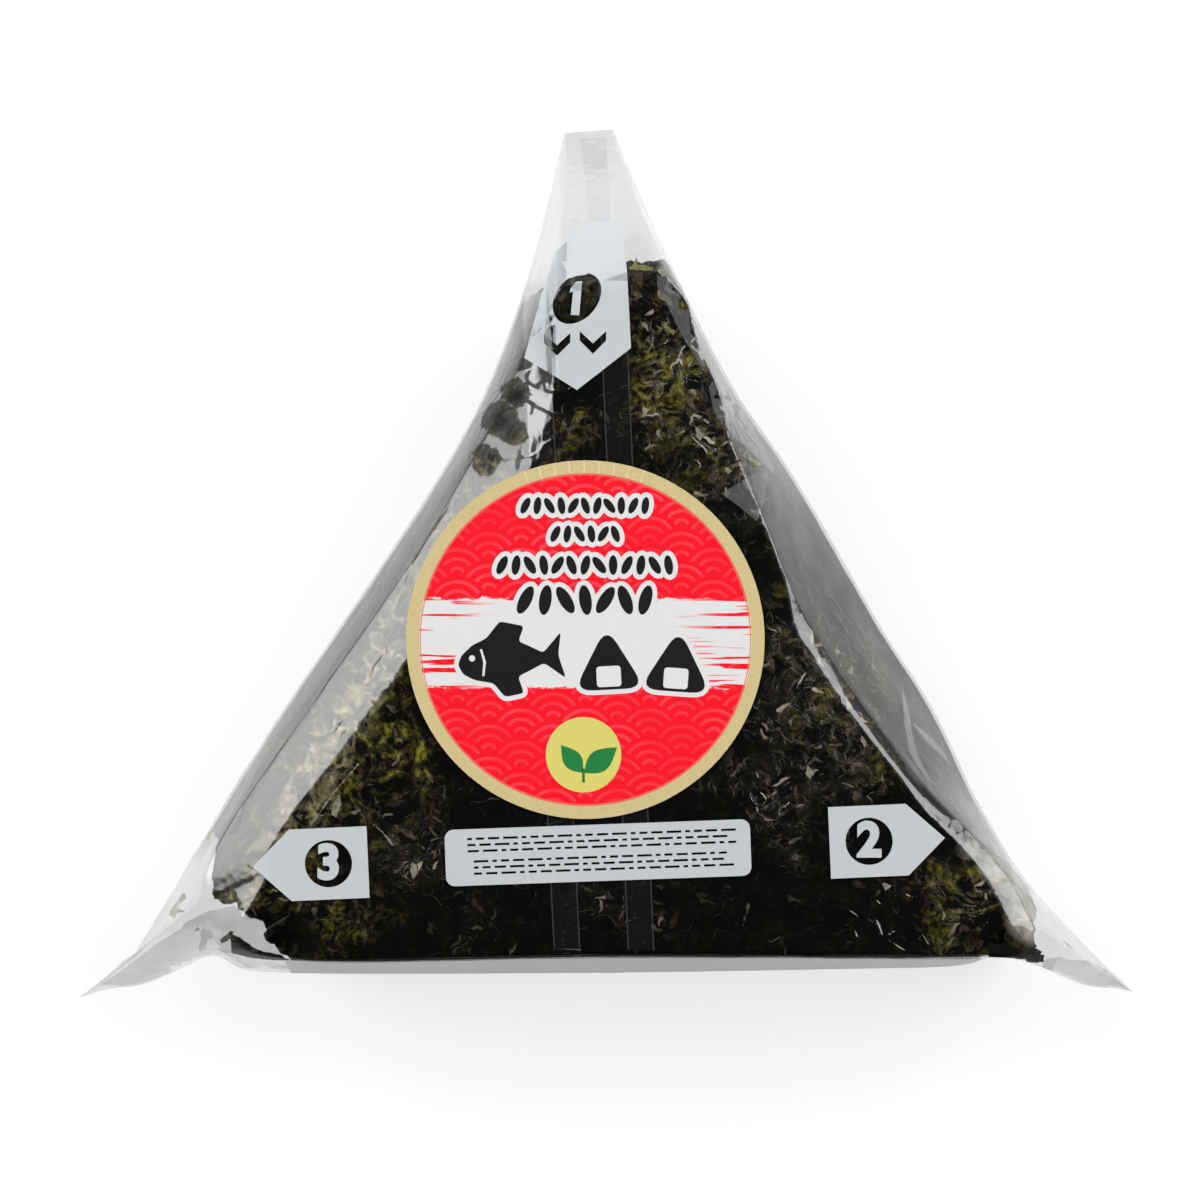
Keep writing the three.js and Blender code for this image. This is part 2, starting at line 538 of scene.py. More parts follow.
def seaweed_finish(seaweed):
    """Pressed seaweed: near black with olive patches, pale fibres and a papery crinkle, with painted
    highlights and a painted grey sheen.
    """
    surface = Surface("seaweed")
    where = surface.place()

    def drift(size):
        """Where things wander to: a smooth noise in X, Y and Z."""
        colour = surface.node(
            "ShaderNodeTexNoise", {}, Vector=where, Scale=1 / size, Detail=1.0, output="Color"
        )
        return surface.vector("SUBTRACT", colour, (0.5, 0.5, 0.5))

    def warped_by(reach, origin, wander):
        """A place moved along a drift, by the given reach in X and Y."""
        return surface.vector("MULTIPLY_ADD", wander, (reach, reach, 0), origin)

    slow, quick = drift(9 * MM), drift(1.3 * MM)
    warped = warped_by(3 * MM, where, slow)
    flat = surface.place(scale=(1, 1, 0))
    spread = warped_by(14 * MM, flat, slow)
    spread_little = warped_by(3 * MM, flat, slow)
    olive_part = surface.spots(spread, OLIVE_SPOTS)
    crinkled = surface.spots(spread, CRINKLED_SPOTS)
    painted_shade = surface.spots(flat, SHADE_SPOTS).clamped()
    x, y, z = surface.parts(where)
    a, b, c = LEFT_CREASE
    band = 1 - (x * a + y * b - (c - 2.3) * MM).math("ABSOLUTE").above(2.3 * MM, 0.5 * MM)
    shoulder = band * y.above(-32 * MM, 1.5 * MM) * (1 - y.above(8 * MM, 4 * MM) * 0.8)
    # Overlapping leaves: olive where the sheet is thin, in places browner, with a painted grey sheen.
    level = surface.noise(warped, 2.3 * MM, detail=4, roughness=0.66, distortion=1.1)
    leafy = level.above(0.52, 0.06)
    fine = surface.noise(where, 0.6 * MM, detail=2).above(0.5, 0.13)
    hue = surface.noise(where, 4 * MM, detail=2).above(0.53, 0.1)
    thin = leafy * (fine * 0.85 + 0.15) * (olive_part * 0.95 + crinkled * 0.07 + 0.02)
    colour = surface.mix(hue, seaweed.olive, seaweed.brown)
    colour = surface.mix(thin, seaweed.dark, colour)
    # Painted sheen: a grey bloom where the sheet is crinkled.
    dense = surface.noise(where, 3.1 * MM, detail=2).above(0.5, 0.09)
    colour = surface.mix(dense * leafy * crinkled * 0.16, colour, (0.07, 0.06, 0.05))
    # The thinnest olive leaves are brightest: partly their own colour, partly a painted highlight.
    bright_leaf_and_highlight = level.above(0.6, 0.04) * fine * olive_part
    colour = surface.mix(bright_leaf_and_highlight * 0.7, colour, (0.46, 0.43, 0.08))
    # Pale fibres and hairs, few of them bright; the pale edges of leaves and the short flakes are partly
    # painted highlights.
    strength = surface.noise(where, 1.1 * MM, detail=2).above(0.55, 0.08)
    frayed = warped_by(1.6 * MM, warped, quick)
    short, short_chance = surface.flakes(frayed, 1.5 * MM, 0.8 * MM, 0.2 * MM, 1.2)
    long, long_chance = surface.flakes(frayed, 3.1 * MM, 2.5 * MM, 0.075 * MM, 1.6)
    fibres = (short * short_chance**2.5).math("MAXIMUM", level.crest(0.52, 0.02) * strength * 0.8)
    fibres = fibres * (dense * 0.85 + 0.15) * (crinkled * 0.95 + olive_part * 0.3 + 0.04)
    fibres = fibres.math("MAXIMUM", long * long_chance**4.0 * (strength * 0.25 + 0.03))
    colour = surface.mix(fibres.clamped(), colour, seaweed.fibre)
    # Painted highlights: broad pinkish flakes where the sheet is crinkled.
    pinkish_highlight, broad_chance = surface.flakes(frayed, 2.1 * MM, 1.1 * MM, 0.34 * MM, 0.9)
    pinkish_highlight = pinkish_highlight * broad_chance**1.3 * (fine * 0.6 + 0.4) * crinkled
    colour = surface.mix((pinkish_highlight * 0.55).clamped(), colour, (0.36, 0.25, 0.19))
    # Painted highlights: a cream net of creases lit along the left shoulder, and a pale, cracked strip lit
    # at the right corner.
    seam = surface.cells(frayed, 2.6 * MM, "DISTANCE_TO_EDGE")
    net = 1 - seam.above(0.06, 0.06)
    shoulder_highlight_net = net * (strength * 0.8 + 0.2) * shoulder
    colour = surface.mix((shoulder_highlight_net * 0.6 + shoulder * leafy * 0.2).clamped(), colour, (0.6, 0.54, 0.3))
    pale = surface.spots(spread_little, CORNER_HIGHLIGHT_SPOTS) * (1 - net * 0.4)
    colour = surface.mix(pale, colour, (0.8, 0.76, 0.66))
    normal = surface.bump(level * (crinkled * 0.6 + 0.08) * 0.42, 1 * MM)
    dull, glossy = [
        surface.principled(
            Base_Color=colour, Roughness=0.25, Specular_IOR_Level=gloss, Normal=normal
        )
        for gloss in SEAWEED_GLOSS
    ]
    # The face is dull in the painted shade spots as well as on the sides.
    return surface.finish(
        surface.blend(z.above(28 * MM, 1.5 * MM) * (1 - painted_shade), dull, glossy)
    )


def rice_finish(rice):
    """Moist pressed rice under its inner film."""
    surface = Surface("rice")
    where = surface.place()
    grains = surface.cells(where, 3.2 * MM)
    colour = surface.mix(grains, rice.grain, (0.5, 0.5, 0.49))
    mottle = surface.noise(where, 3 * MM)
    return surface.finish(
        surface.principled(
            Base_Color=colour, Roughness=0.35, Normal=surface.bump(mottle, 0.2 * MM, 0.4)
        )
    )


def ink_finish(ink, name="white_ink"):
    """White ink that a bright ground shines through a little."""
    surface = Surface(name)
    speckle = surface.noise(surface.place(), 0.4 * MM, detail=2)
    colour = surface.mix(speckle.above(0.5, 0.3), [0.95 * part for part in ink], ink)
    return surface.finish(
        surface.principled(
            Base_Color=colour,
            Roughness=0.35,
            Alpha=0.79,
            Normal=surface.bump(surface.noise(surface.place(), 6 * MM), 0.08 * MM, 0.4),
        )
    )


def plain_finish(name, colour, roughness=0.4):
    """An even, opaque finish."""
    surface = Surface(name)
    return surface.finish(surface.principled(Base_Color=(*colour, 1), Roughness=roughness))


def scrap_finish(name, colour, cover):
    """An uneven scrap, thin enough for light to come through where cover is under 1."""
    surface = Surface(name)
    mottle = surface.noise(surface.place(), 0.7 * MM, detail=3).above(0.5, 0.2)
    shade = surface.mix(mottle, [0.4 * part for part in colour], colour)
    return surface.finish(
        surface.principled(
            Base_Color=shade, Roughness=0.5, Specular_IOR_Level=0.15, Alpha=cover
        )
    )


WAVE_RADIUS = 3.4 * MM
BAND_MIDDLE = -0.4 * MM
BAND_HALF_HEIGHT = 4.7 * MM
BAND_HALF_LENGTH = 11.5 * MM


def label_finish(label):
    """Printed paper: a gold ring round a red field of waves, with a brushed white band across it."""
    surface = Surface("label_paper")
    where = surface.place(centre=LABEL_CENTRE)
    x, y, _ = surface.parts(where)
    radius = (x * x + y * y).math("SQRT")
    grit = surface.noise(surface.place(), 0.14 * MM, detail=2)
    gold = surface.mix(grit.above(0.5, 0.2), [0.82 * part for part in label.gold], label.gold)
    waves = wave_scales(x, y, WAVE_RADIUS)
    fade = surface.noise(surface.place(), 7 * MM, detail=2).above(0.5, 0.12)
    red = surface.mix(waves * (fade * 0.45 + 0.25), label.red, label.light_red)
    brushed = surface.noise(surface.place(scale=(0.5, 1.0, 1)), 1.0 * MM, detail=4, roughness=0.7)
    bristles = surface.noise(surface.place(scale=(0.12, 2.4, 1)), 1.4 * MM, detail=2)
    height = (y - BAND_MIDDLE + (brushed - 0.5) * (1.6 * MM)).math("ABSOLUTE")
    ends = (x.math("ABSOLUTE") - BAND_HALF_LENGTH).above(0.0, 2.5 * MM)
    streaks = bristles.above(0.56, 0.01) * ends
    band = (1 - height.above(BAND_HALF_HEIGHT, 0.08 * MM)) * (1 - streaks)
    field = surface.mix(band, red, label.white)
    line = (radius - (LABEL_RADIUS - label.ring - 0.12 * MM)).math("ABSOLUTE")
    colour = surface.mix(radius.above(LABEL_RADIUS - label.ring), field, gold)
    colour = surface.mix(1 - line.above(0.06 * MM, 0.02 * MM), colour, (0.8, 0.2, 0.12))
    return surface.finish(
        surface.principled(
            Base_Color=colour,
            Roughness=0.45,
            Specular_IOR_Level=0.25,
            Normal=surface.bump(grit, 0.01 * MM, 0.5),
        )
    )


def wave_scales(x, y, reach):
    """The traditional pattern of overlapping wave scales: 1 on its rings and 0 between them."""
    level = y / (reach / 2)
    row = level.math("FLOOR")
    part = level - row

    def from_hub(rows_down):
        odd = (row - rows_down).math("MODULO", 2.0).math("ABSOLUTE")
        across = (x + odd * reach).math("PINGPONG", reach)
        up = (part + rows_down) * (reach / 2)
        return (across * across + up * up).math("SQRT")

    lower, upper = from_hub(1.0), from_hub(0.0)
    inside = lower.math("LESS_THAN", reach)
    distance = lower * inside + upper * (1 - inside)
    rings = (distance / reach * 3.5).math("FRACT")
    return rings.above(0.62, 0.05)


# ---------------------------------------------------------------- shapes


def as_object(name, bm):
    """A new object of the scene that takes over a bmesh."""
    mesh = bpy.data.meshes.new(name)
    bm.to_mesh(mesh)
    bm.free()
    made = bpy.data.objects.new(name, mesh)
    bpy.context.scene.collection.objects.link(made)
    return made


def discard(helper):
    """Removes a helper object and its mesh."""
    mesh = helper.data
    bpy.data.objects.remove(helper)
    bpy.data.meshes.remove(mesh)


def evaluated(bm, kind, **options):
    """A bmesh after a modifier."""
    helper = as_object("working", bm)
    made = helper.modifiers.new(kind, kind)
    for key, option in options.items():
        setattr(made, key, option)
    result = bmesh.new()
    result.from_object(helper, bpy.context.evaluated_depsgraph_get())
    discard(helper)
    return result


CUT_TOLERANCE = 0.001 * MM  # a cut that passes a vertex this near runs through it


def cut_into_cells(bm, faces, pitch):
    """Cuts faces into a square mesh of cells along X and Y."""
    for axis in (Vector((1, 0, 0)), Vector((0, 1, 0))):
        places = [v.co @ axis for f in faces for v in f.verts]
        low, high = min(places), max(places)
        count = int((high - low) / pitch)
        for step in range(1, count + 1):
            live = [f for f in faces if f.is_valid]
            geom = list({e for f in live for e in f.edges} | {v for f in live for v in f.verts})
            cut = bmesh.ops.bisect_plane(
                bm,
                geom=geom + live,
                dist=CUT_TOLERANCE,
                plane_co=axis * (low + (high - low) * step / (count + 1)),
                plane_no=axis,
            )
            faces = [g for g in cut["geom"] if isinstance(g, bmesh.types.BMFace)]


CAP_PITCH = 2.7 * MM
SUBDIVISIONS = 2
MERGE_DISTANCE = 0.002 * MM
FACE_CENTRE = Vector((1, -16)) * MM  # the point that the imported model's faces narrow towards
FACE_ROUNDING = 0.12  # the share of the way from a crease to the centre where a face starts to round
CREASE_RING = 5
MID_RING = 9

# How far inside its crease each ring of the skin lies, and how deep below the face, in millimetres.
SHOULDERS = {
    "left": [(6.2, 0), (5.2, 0.17), (3.4, 0.85), (1.4, 1.68), (0.12, 2.24), (0, 2.3)],
    "low_left": [(8.4, 0), (7.2, 0.15), (4.8, 0.85), (2.1, 1.65), (0.16, 2.2), (0, 2.3)],
    "top_left": [(8.4, 0), (7.2, 0.25), (4.0, 1.3), (1.4, 2.15), (0.12, 2.7), (0, 2.8)],
    "right": [(3.0, 0), (2.4, 0.03), (1.9, 0.14), (1.3, 0.42), (0.1, 1.2), (0, 1.27)],
    "low_right": [(4.2, 0), (3.5, 0.03), (2.7, 0.2), (1.35, 0.57), (0.2, 0.87), (0, 0.93)],
    "end": [(1.1, 0), (0.8, 0.01), (0.5, 0.03), (0.25, 0.07), (0.08, 0.12), (0, 0.2)],
}
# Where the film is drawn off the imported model's section, at its crease and at its widest: place and
# radius of the pull and how far it moves, in millimetres.
CREASE_PULLS = [((5.2, 28.8), 8.0, (2.4, 0.7)), ((10.2, 19.6), 7.5, (1.2, 0.45))]
RIM_PULLS = [
    ((-42.6, -44.2), 3.0, (0, 1.4)),
    ((43.6, -44.0), 4.2, (0, 1.7)),
    ((-49.8, -45.4), 4.5, (0, -0.9)),
    ((51.5, -45.2), 4.5, (0.2, -0.9)),
    ((35.6, -16.0), 10.0, (0.65, 0.35)),
]
EAR_EDGE = [(-42.7, -28.2), (-52.2, -43.9), (-57.5, -47.2)]  # the left ear's upper edge
WALL_STEPS = [0.04, 0.32, 0.66, 1.0]  # rings below the crease, as shares of the way to the widest point
EAR_STEPS = [0.22, 0.48, 0.74, 1.0]
SIDE_REACH = 5 * MM  # a side's widest point lies this near its crease, an ear's or the tab's further
EAR_REACH = 10 * MM
EAR_CURVE = 1.2  # over 1, an ear is fuller at its root than a straight wedge
EAR_SEAL_FROM = 0.92  # share of an ear's length where its two films meet
LEFT_OUTWARDS = Vector((-0.875, 0.484))
LEFT_SLIP = (-0.5, 2.1)  # how far the left crease has slipped outwards, at its top and at its foot
SIDE_RISE = 3.0 * MM  # how far above the middle the left side and the upper right side are widest
SEAL = 0.4 * MM
SIDEWAYS = (0.35, 0.7)  # from the first to the second X of its direction, a rib becomes a side's
# Heights of creases in millimetres, low and high, over which one shape passes into another.
SPANS = {
    "slip": (-30, 6),  # the left crease's slip, from its foot's to its top's
    "slip_begins": (-40, -37.2),
    "slip_ends": (14, 24),
    "low": (-28, -23),  # above the ears
    "base_corner": (-41.4, -40.4),
    "left_ear": (-40, -37.2),
    "right_ear": (-40.4, -38.9),
    "right_ends": (-5.5, -3),
    "high": (3, 11),
    "left_foot": (-26, -8),
    "right_rise": (5, 12),
}
TAB_CORNERS, EAR_TIPS = 46.8 * MM, 57.2 * MM  # beyond this Y and this X the outline has sharp corners
TAB_SEAL, EAR_SEAL = 40 * MM, 49 * MM  # beyond this Y and this X the two films are sealed
PLAIN_CREASE = 0.6  # the weight of the plain shoulder from which a crease is sharp


def span(name, height):
    """0 below a span of heights, 1 above it."""
    return smooth(*SPANS[name], height)


def pack_ribs(bm):
    """The skin's vertices in ribs, each from the front face round the edge to the back face."""
    hub = max(bm.verts, key=lambda v: (len(v.link_edges), v.co.z))
    ring = {hub: 0}
    reached = [hub]
    for v in reached:
        for other in (e.other_vert(v) for e in v.link_edges):
            if other not in ring:
                ring[other] = ring[v] + 1
                reached.append(other)
    last = max(ring.values()) - 1

    def next_on_rib(v):
        first, second = [
            e.other_vert(v) for e in v.link_edges if ring[e.other_vert(v)] == ring[v] + 1
        ]
        turn = (first.co.xy - hub.co.xy).cross(second.co.xy - hub.co.xy)
        return first if turn < 0 else second

    def bearing(v):
        return math.atan2(v.co.y - hub.co.y, v.co.x - hub.co.x)

    ribs = []
    for v in sorted([v for v in reached if ring[v] == 1], key=bearing):
        rib = [v]
        while ring[rib[-1]] < last:
            rib.append(next_on_rib(rib[-1]))
        ribs.append(rib)
    return ribs


def pulled(place, pulls):
    """A place in the plane after the pulls near it."""
    moved_by = Vector((0, 0))
    for hub, radius, shift in pulls:
        share = 1 - smooth(0.25, 1, (place / MM - Vector(hub)).length / radius)
        moved_by += Vector(shift) * share * MM
    return place + moved_by


def onto_edge(place):
    """A place near the left ear's upper edge, moved onto it."""
    for start, end in zip(EAR_EDGE, EAR_EDGE[1:]):
        on_line, share = geometry.intersect_point_line(place, Vector(start) * MM, Vector(end) * MM)
        if 0 <= share <= 1:
            return Vector(on_line[:2])
    return place


def left_slip(outwards, height):
    """How far the left crease has slipped outwards at a height, in millimetres."""
    top, foot = LEFT_SLIP
    slip = top + (foot - top) * (1 - span("slip", height))
    on_left = smooth(0.5, 0.8, -outwards.x)
    return slip * (on_left * span("slip_begins", height) * (1 - span("slip_ends", height)))


def side_weights(left, right, height):
    """How much each kind of shoulder counts in a rib."""
    low, high = 1 - span("low", height), span("high", height)
    foot = 1 - span("left_foot", height)
    return {
        "left": left * (1 - high - foot),
        "low_left": left * foot,
        "top_left": left * high,
        "right": right * (1 - low),
        "low_right": right * low,
        "end": 1 - left - right,
    }


def shape_rib(rib):
    """Moves a rib's vertices onto the pack's own section: shoulder, crease, wall or ear."""
    widest = rib[MID_RING].co.xy.copy()
    flat = rib[0].co.xy.copy()
    crease = FACE_CENTRE + (flat - FACE_CENTRE) / (1 - FACE_ROUNDING)
    inwards = (FACE_CENTRE - crease).normalized()
    outwards = (widest - crease).normalized()
    height = crease.y / MM
    crease += LEFT_OUTWARDS * left_slip(outwards, height) * MM
    ear = smooth(SIDE_REACH, EAR_REACH, (widest - crease).length)
    low, high = 1 - span("low", height), span("high", height)
    side = span("base_corner", height) * (1 - ear)
    left = smooth(*SIDEWAYS, -outwards.x) * (side + span("left_ear", height) * ear * low)
    rightwards = smooth(*SIDEWAYS, outwards.x)
    right = rightwards * (side + span("right_ear", height) * ear * low) * (1 - span("right_ends", height))
    weights = side_weights(left, right, height)
    widest, crease = pulled(widest, RIM_PULLS), pulled(crease, CREASE_PULLS)
    if outwards.x < 0 and height > SPANS["left_ear"][1]:
        widest = onto_edge(widest)
    half = MIDDLE - SEAL / 2
    rise = SIDE_RISE * (1 - ear) * max(left, rightwards * span("right_rise", height))
    # Over 1, a wall is flatter beside its crease and steeper where it is widest.
    slant = 1 + 0.25 * left + (0.35 + 0.65 * low + 0.35 * high) * rightwards + 0.3 * high

    def shoulder(step, measure):
        """A shoulder's inset (0) or drop (1) at a ring, from all kinds of shoulder."""
        return sum(SHOULDERS[kind][step][measure] * share for kind, share in weights.items()) * MM

    edge_drop, back_edge_drop = shoulder(CREASE_RING, 1), SHOULDERS["end"][CREASE_RING][1] * MM
    for step in range(MID_RING + 1):
        if step <= CREASE_RING:
            back_inset, back_drop = SHOULDERS["end"][step]
            drop, back_drop = shoulder(step, 1), back_drop * MM
            place = crease + inwards * shoulder(step, 0)
            back_place = crease + inwards * back_inset * MM
        else:
            wall = WALL_STEPS[step - CREASE_RING - 1]
            flap = EAR_STEPS[step - CREASE_RING - 1]
            sink = wall**slant * (1 - ear) + min(flap / EAR_SEAL_FROM, 1) ** EAR_CURVE * ear
            drop = edge_drop + (half - rise - edge_drop) * sink
            back_drop = back_edge_drop + (half + rise - back_edge_drop) * sink
            place = back_place = crease.lerp(widest, wall * (1 - ear) + flap * ear)
        rib[step].co = (*place, FRONT - drop)
        rib[-1 - step].co = (*back_place, back_drop)
    return weights["end"]


def sharpen(bm, ribs, ends):
    """Keeps the seal of the ears and the tab, their corners and the plain creases crisp."""
    creased = bm.edges.layers.float["crease_edge"]
    cornered = bm.verts.layers.float["crease_vert"]
    for rib, other, end, other_end in zip(ribs, ribs[1:] + ribs[:1], ends, ends[1:] + ends[:1]):
        rim = rib[MID_RING]
        if rim.co.y > TAB_CORNERS or abs(rim.co.x) > EAR_TIPS:
            rim[cornered] = 1.0
        sealed = min(rim.co.y, other[MID_RING].co.y) > TAB_SEAL or abs(rim.co.x) > EAR_SEAL
        for step, wanted in [(MID_RING, sealed), (CREASE_RING, min(end, other_end) > PLAIN_CREASE)]:
            edge = bm.edges.get((rib[step], other[step]))
            if wanted and edge:
                edge[creased] = 1.0


def pack_skin():
    """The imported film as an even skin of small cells, with sharp shoulders along its creases."""
    bm = bmesh.new()
    bm.from_mesh(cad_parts["film_pack"].data)
    bmesh.ops.remove_doubles(bm, verts=bm.verts, dist=MERGE_DISTANCE)
    bm.edges.layers.float.new("crease_edge")
    bm.verts.layers.float.new("crease_vert")
    ribs = pack_ribs(bm)
    ends = [shape_rib(rib) for rib in ribs]
    along = {frozenset(pair) for rib in ribs for pair in zip(rib, rib[1:])}
    place = {v: step for rib in ribs for step, v in enumerate(rib)}
    diagonals = [
        e
        for e in bm.edges
        if all(v in place for v in e.verts)
        and place[e.verts[0]] != place[e.verts[1]]
        and frozenset(e.verts) not in along
    ]
    bmesh.ops.dissolve_edges(bm, edges=diagonals)
    hubs = [v for v in bm.verts if len(v.link_edges) > 20]
    bmesh.ops.dissolve_verts(bm, verts=hubs)
    sharpen(bm, ribs, ends)
    for cap in [f for f in bm.faces if len(f.verts) > 20]:
        cut_into_cells(bm, [cap], CAP_PITCH)
    return evaluated(bm, "SUBSURF", levels=SUBDIVISIONS, render_levels=SUBDIVISIONS)


def wave(place, size, seed=0.0):
    """Smooth noise from -1 to 1."""
    return noise.noise(place / size + Vector((seed, seed * 2.3, -seed)))


def ridge(place, size, seed=0.0):
    """Noise with sharp crests, from 0 to 1."""
    return 1 - abs(wave(place, size, seed))


def new_piece(name, bm, material, sharp=math.radians(40)):
    """A finished piece from a bmesh, riding on the pack."""
    piece = as_object(name, bm)
    piece.data.shade_smooth()
    piece.data.set_sharp_from_angle(angle=sharp)
    piece.data.materials.append(material)
    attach(piece, "root")
    return piece


# ---------------------------------------------------------------- flat outlines


def polygon(*corners):
    """An outline from its corners, in millimetres."""
    return [Vector(corner) * MM for corner in corners]


def ellipse(centre, across, up=None, turn=0.0, sides=48):
    """An elliptic outline from its centre and radii in millimetres, turned by degrees."""
    up = up or across
    spin = Matrix.Rotation(math.radians(turn), 2)
    steps = [2 * math.pi * step / sides for step in range(sides)]
    return [
        (Vector(centre) + spin @ Vector((across * math.cos(a), up * math.sin(a)))) * MM
        for a in steps
    ]


def bar(centre, width, height, rounding=0.0, turn=0.0):
    """A rectangle with rounded corners, in millimetres, turned by degrees."""
    spin = Matrix.Rotation(math.radians(turn), 2)
    half = Vector((width / 2 - rounding, height / 2 - rounding))
    points = []
    for quarter, (right, top) in enumerate([(1, 1), (-1, 1), (-1, -1), (1, -1)]):
        hub = Vector((half.x * right, half.y * top))
        for step in range(7 if rounding else 1):
            angle = math.pi / 2 * (quarter + step / 6)
            points.append(hub + rounding * Vector((math.cos(angle), math.sin(angle))))
    return [(Vector(centre) + spin @ point) * MM for point in points]


def ragged(points, pitch, height, seed=0.0):
    """An outline split into short steps that wander off it like a torn edge."""
    torn = []
    for start, end in zip(points, points[1:] + points[:1]):
        count = max(1, round((end - start).length / pitch))
        across = (end - start).normalized().orthogonal()
        for step in range(count):
            place = start.lerp(end, step / count)
            shift = wave(place.to_3d(), 1.3 * MM, seed) + 0.8 * wave(place.to_3d(), 0.45 * MM, seed)
            torn.append(place + across * shift * height)
    return torn


def flat_mesh(*outlines, grow=0.0):
    """A flat bmesh inside outlines, where an outline within another is a hole."""
    curve = bpy.data.curves.new("outline", "CURVE")
    curve.dimensions = "2D"
    curve.fill_mode = "FRONT"
    curve.offset = grow / MM
    for points in outlines:
        spline = curve.splines.new("POLY")
        spline.points.add(len(points) - 1)
        for knot, point in zip(spline.points, points):
            knot.co = (*(point / MM).to_3d(), 1)
        spline.use_cyclic_u = True
    return curve_mesh(curve)


def digit_mesh(text, centre, size, grow):
    """A plain printed number."""
    curve = bpy.data.curves.new("digit", "FONT")
    curve.body = text
    curve.size = size
    curve.align_x = "CENTER"
    curve.align_y = "CENTER"
    curve.offset = grow / MM
    curve.resolution_u = 6
    bm = curve_mesh(curve)
    bmesh.ops.translate(bm, verts=bm.verts, vec=(Vector(centre) * MM).to_3d())
    return bm


CURVE_TOLERANCE = 0.001  # millimetres, in which curves are drawn


def curve_mesh(curve):
    """The flat mesh of a curve or text drawn in millimetres, as a bmesh in metres."""
    worker = bpy.data.objects.new("working", curve)
    bpy.context.scene.collection.objects.link(worker)
    mesh = bpy.data.meshes.new_from_object(worker.evaluated_get(bpy.context.evaluated_depsgraph_get()))
    bm = bmesh.new()
    bm.from_mesh(mesh)
    bpy.data.meshes.remove(mesh)
    bpy.data.objects.remove(worker)
    bpy.data.curves.remove(curve)
    bmesh.ops.remove_doubles(bm, verts=bm.verts, dist=CURVE_TOLERANCE)
    bmesh.ops.scale(bm, verts=bm.verts, vec=(MM, MM, MM))
    return bm


def joined(*parts):
    """Several bmeshes as one."""
    mesh = bpy.data.meshes.new("part")
    whole = bmesh.new()
    for part in parts:
        part.to_mesh(mesh)
        part.free()
        whole.from_mesh(mesh)
    bpy.data.meshes.remove(mesh)
    return whole


UP = Vector((0, 0, 1))
INTO_BASE = Vector((0, 1, 0))
CELL_PITCH = 1.2 * MM
RAY_START = 100 * MM  # how far off the pack the rays start that look for its surface
# How far off the film's outer face the pieces on it and inside it lie.
PRINT_LIFT = 0.01 * MM
TAPE_EDGE_LIFT = -0.03 * MM
TAPE_LIFT = -0.06 * MM
FOLD_LIFT = -0.12 * MM
SCRAP_LIFT = -0.22 * MM
STRIP_THICKNESS = 0.02 * MM  # of the tapes and of what the film forms
SCRAP_THICKNESS = 0.05 * MM


def turn_towards(bm, direction):
    """Turns a flat bmesh over if it faces away from a direction."""
    bm.normal_update()
    if sum(f.normal @ direction for f in bm.faces) < 0:
        bmesh.ops.reverse_faces(bm, faces=bm.faces)


def thicken(bm, shift):
    """Gives a flat bmesh a thickness, with its other side a shift away."""
    raised = bmesh.ops.extrude_face_region(bm, geom=bm.faces[:], use_keep_orig=True)["geom"]
    verts = [g for g in raised if isinstance(g, bmesh.types.BMVert)]
    bmesh.ops.translate(bm, verts=verts, vec=shift)
    bmesh.ops.recalc_face_normals(bm, faces=bm.faces)


def laid_on(bm, tree, lift, thickness):
    """A flat bmesh let down onto a surface, lifted off it and given a thickness."""
    cut_into_cells(bm, bm.faces[:], CELL_PITCH)
    missed = []
    for v in bm.verts:
        hit = tree.ray_cast(v.co + UP * RAY_START, -UP)[0]
        if hit:
            v.co = hit + UP * lift
        else:
            missed.append(v)
    bmesh.ops.delete(bm, geom=missed, context="VERTS")
    turn_towards(bm, UP)
    thicken(bm, UP * thickness)
    return bm


# ---------------------------------------------------------------- outlines of the contents

# The sheet of seaweed, seen from the front: it runs past the pack's sides, is cut across under
# the tab, and is torn at its left corner.
SHEET = [
    (-14, 27.4), (-8.7, 28.6), (-7.1, 29.3), (-2, 30.8), (2.4, 32.1), (5, 31.9), (5.6, 32.3),
    (7.1, 32.7), (12, 33.5), (48, -17), (48, -31.2), (43.4, -31.9), (44.6, -33.6), (45.4, -34.9),
    (45.7, -36.2), (45.5, -41.0), (46.4, -41.4), (46.1, -47), (-33.7, -47), (-33.7, -42.0),
    (-34.9, -40.8), (-36.2, -39.9), (-36.2, -38.5), (-36.5, -38.0), (-38.0, -37.5), (-39.1, -36.7),
    (-39.2, -36.0), (-40.4, -36.2), (-41.7, -35.7), (-41.9, -34.6), (-41.8, -32.2), (-41.4, -29.3),
    (-49, -27),
]
RICE = [
    (-9, 22), (-3, 28), (3, 28), (8, 22), (43, -36), (42, -46), (-32.0, -46), (-32.0, -41.5),
    (-34.6, -38.6), (-38.5, -33.5), (-37, -28),
]


CUTTER_LOW, CUTTER_HIGH = -5 * MM, 40 * MM
FACE_SHARE = 0.8  # of an inset, below the front face


def prism(outline):
    """An upright block inside an outline, from below the pack to above it."""
    bm = flat_mesh(outline)
    bmesh.ops.translate(bm, verts=bm.verts, vec=(0, 0, CUTTER_LOW))
    bmesh.ops.recalc_face_normals(bm, faces=bm.faces)
    top = bmesh.ops.extrude_face_region(bm, geom=bm.faces[:])["geom"]
    verts = [g for g in top if isinstance(g, bmesh.types.BMVert)]
    bmesh.ops.translate(bm, verts=verts, vec=(0, 0, CUTTER_HIGH - CUTTER_LOW))
    bmesh.ops.recalc_face_normals(bm, faces=bm.faces)
    return bm


def no_relief(_place):
    """A smooth skin's relief."""
    return 0


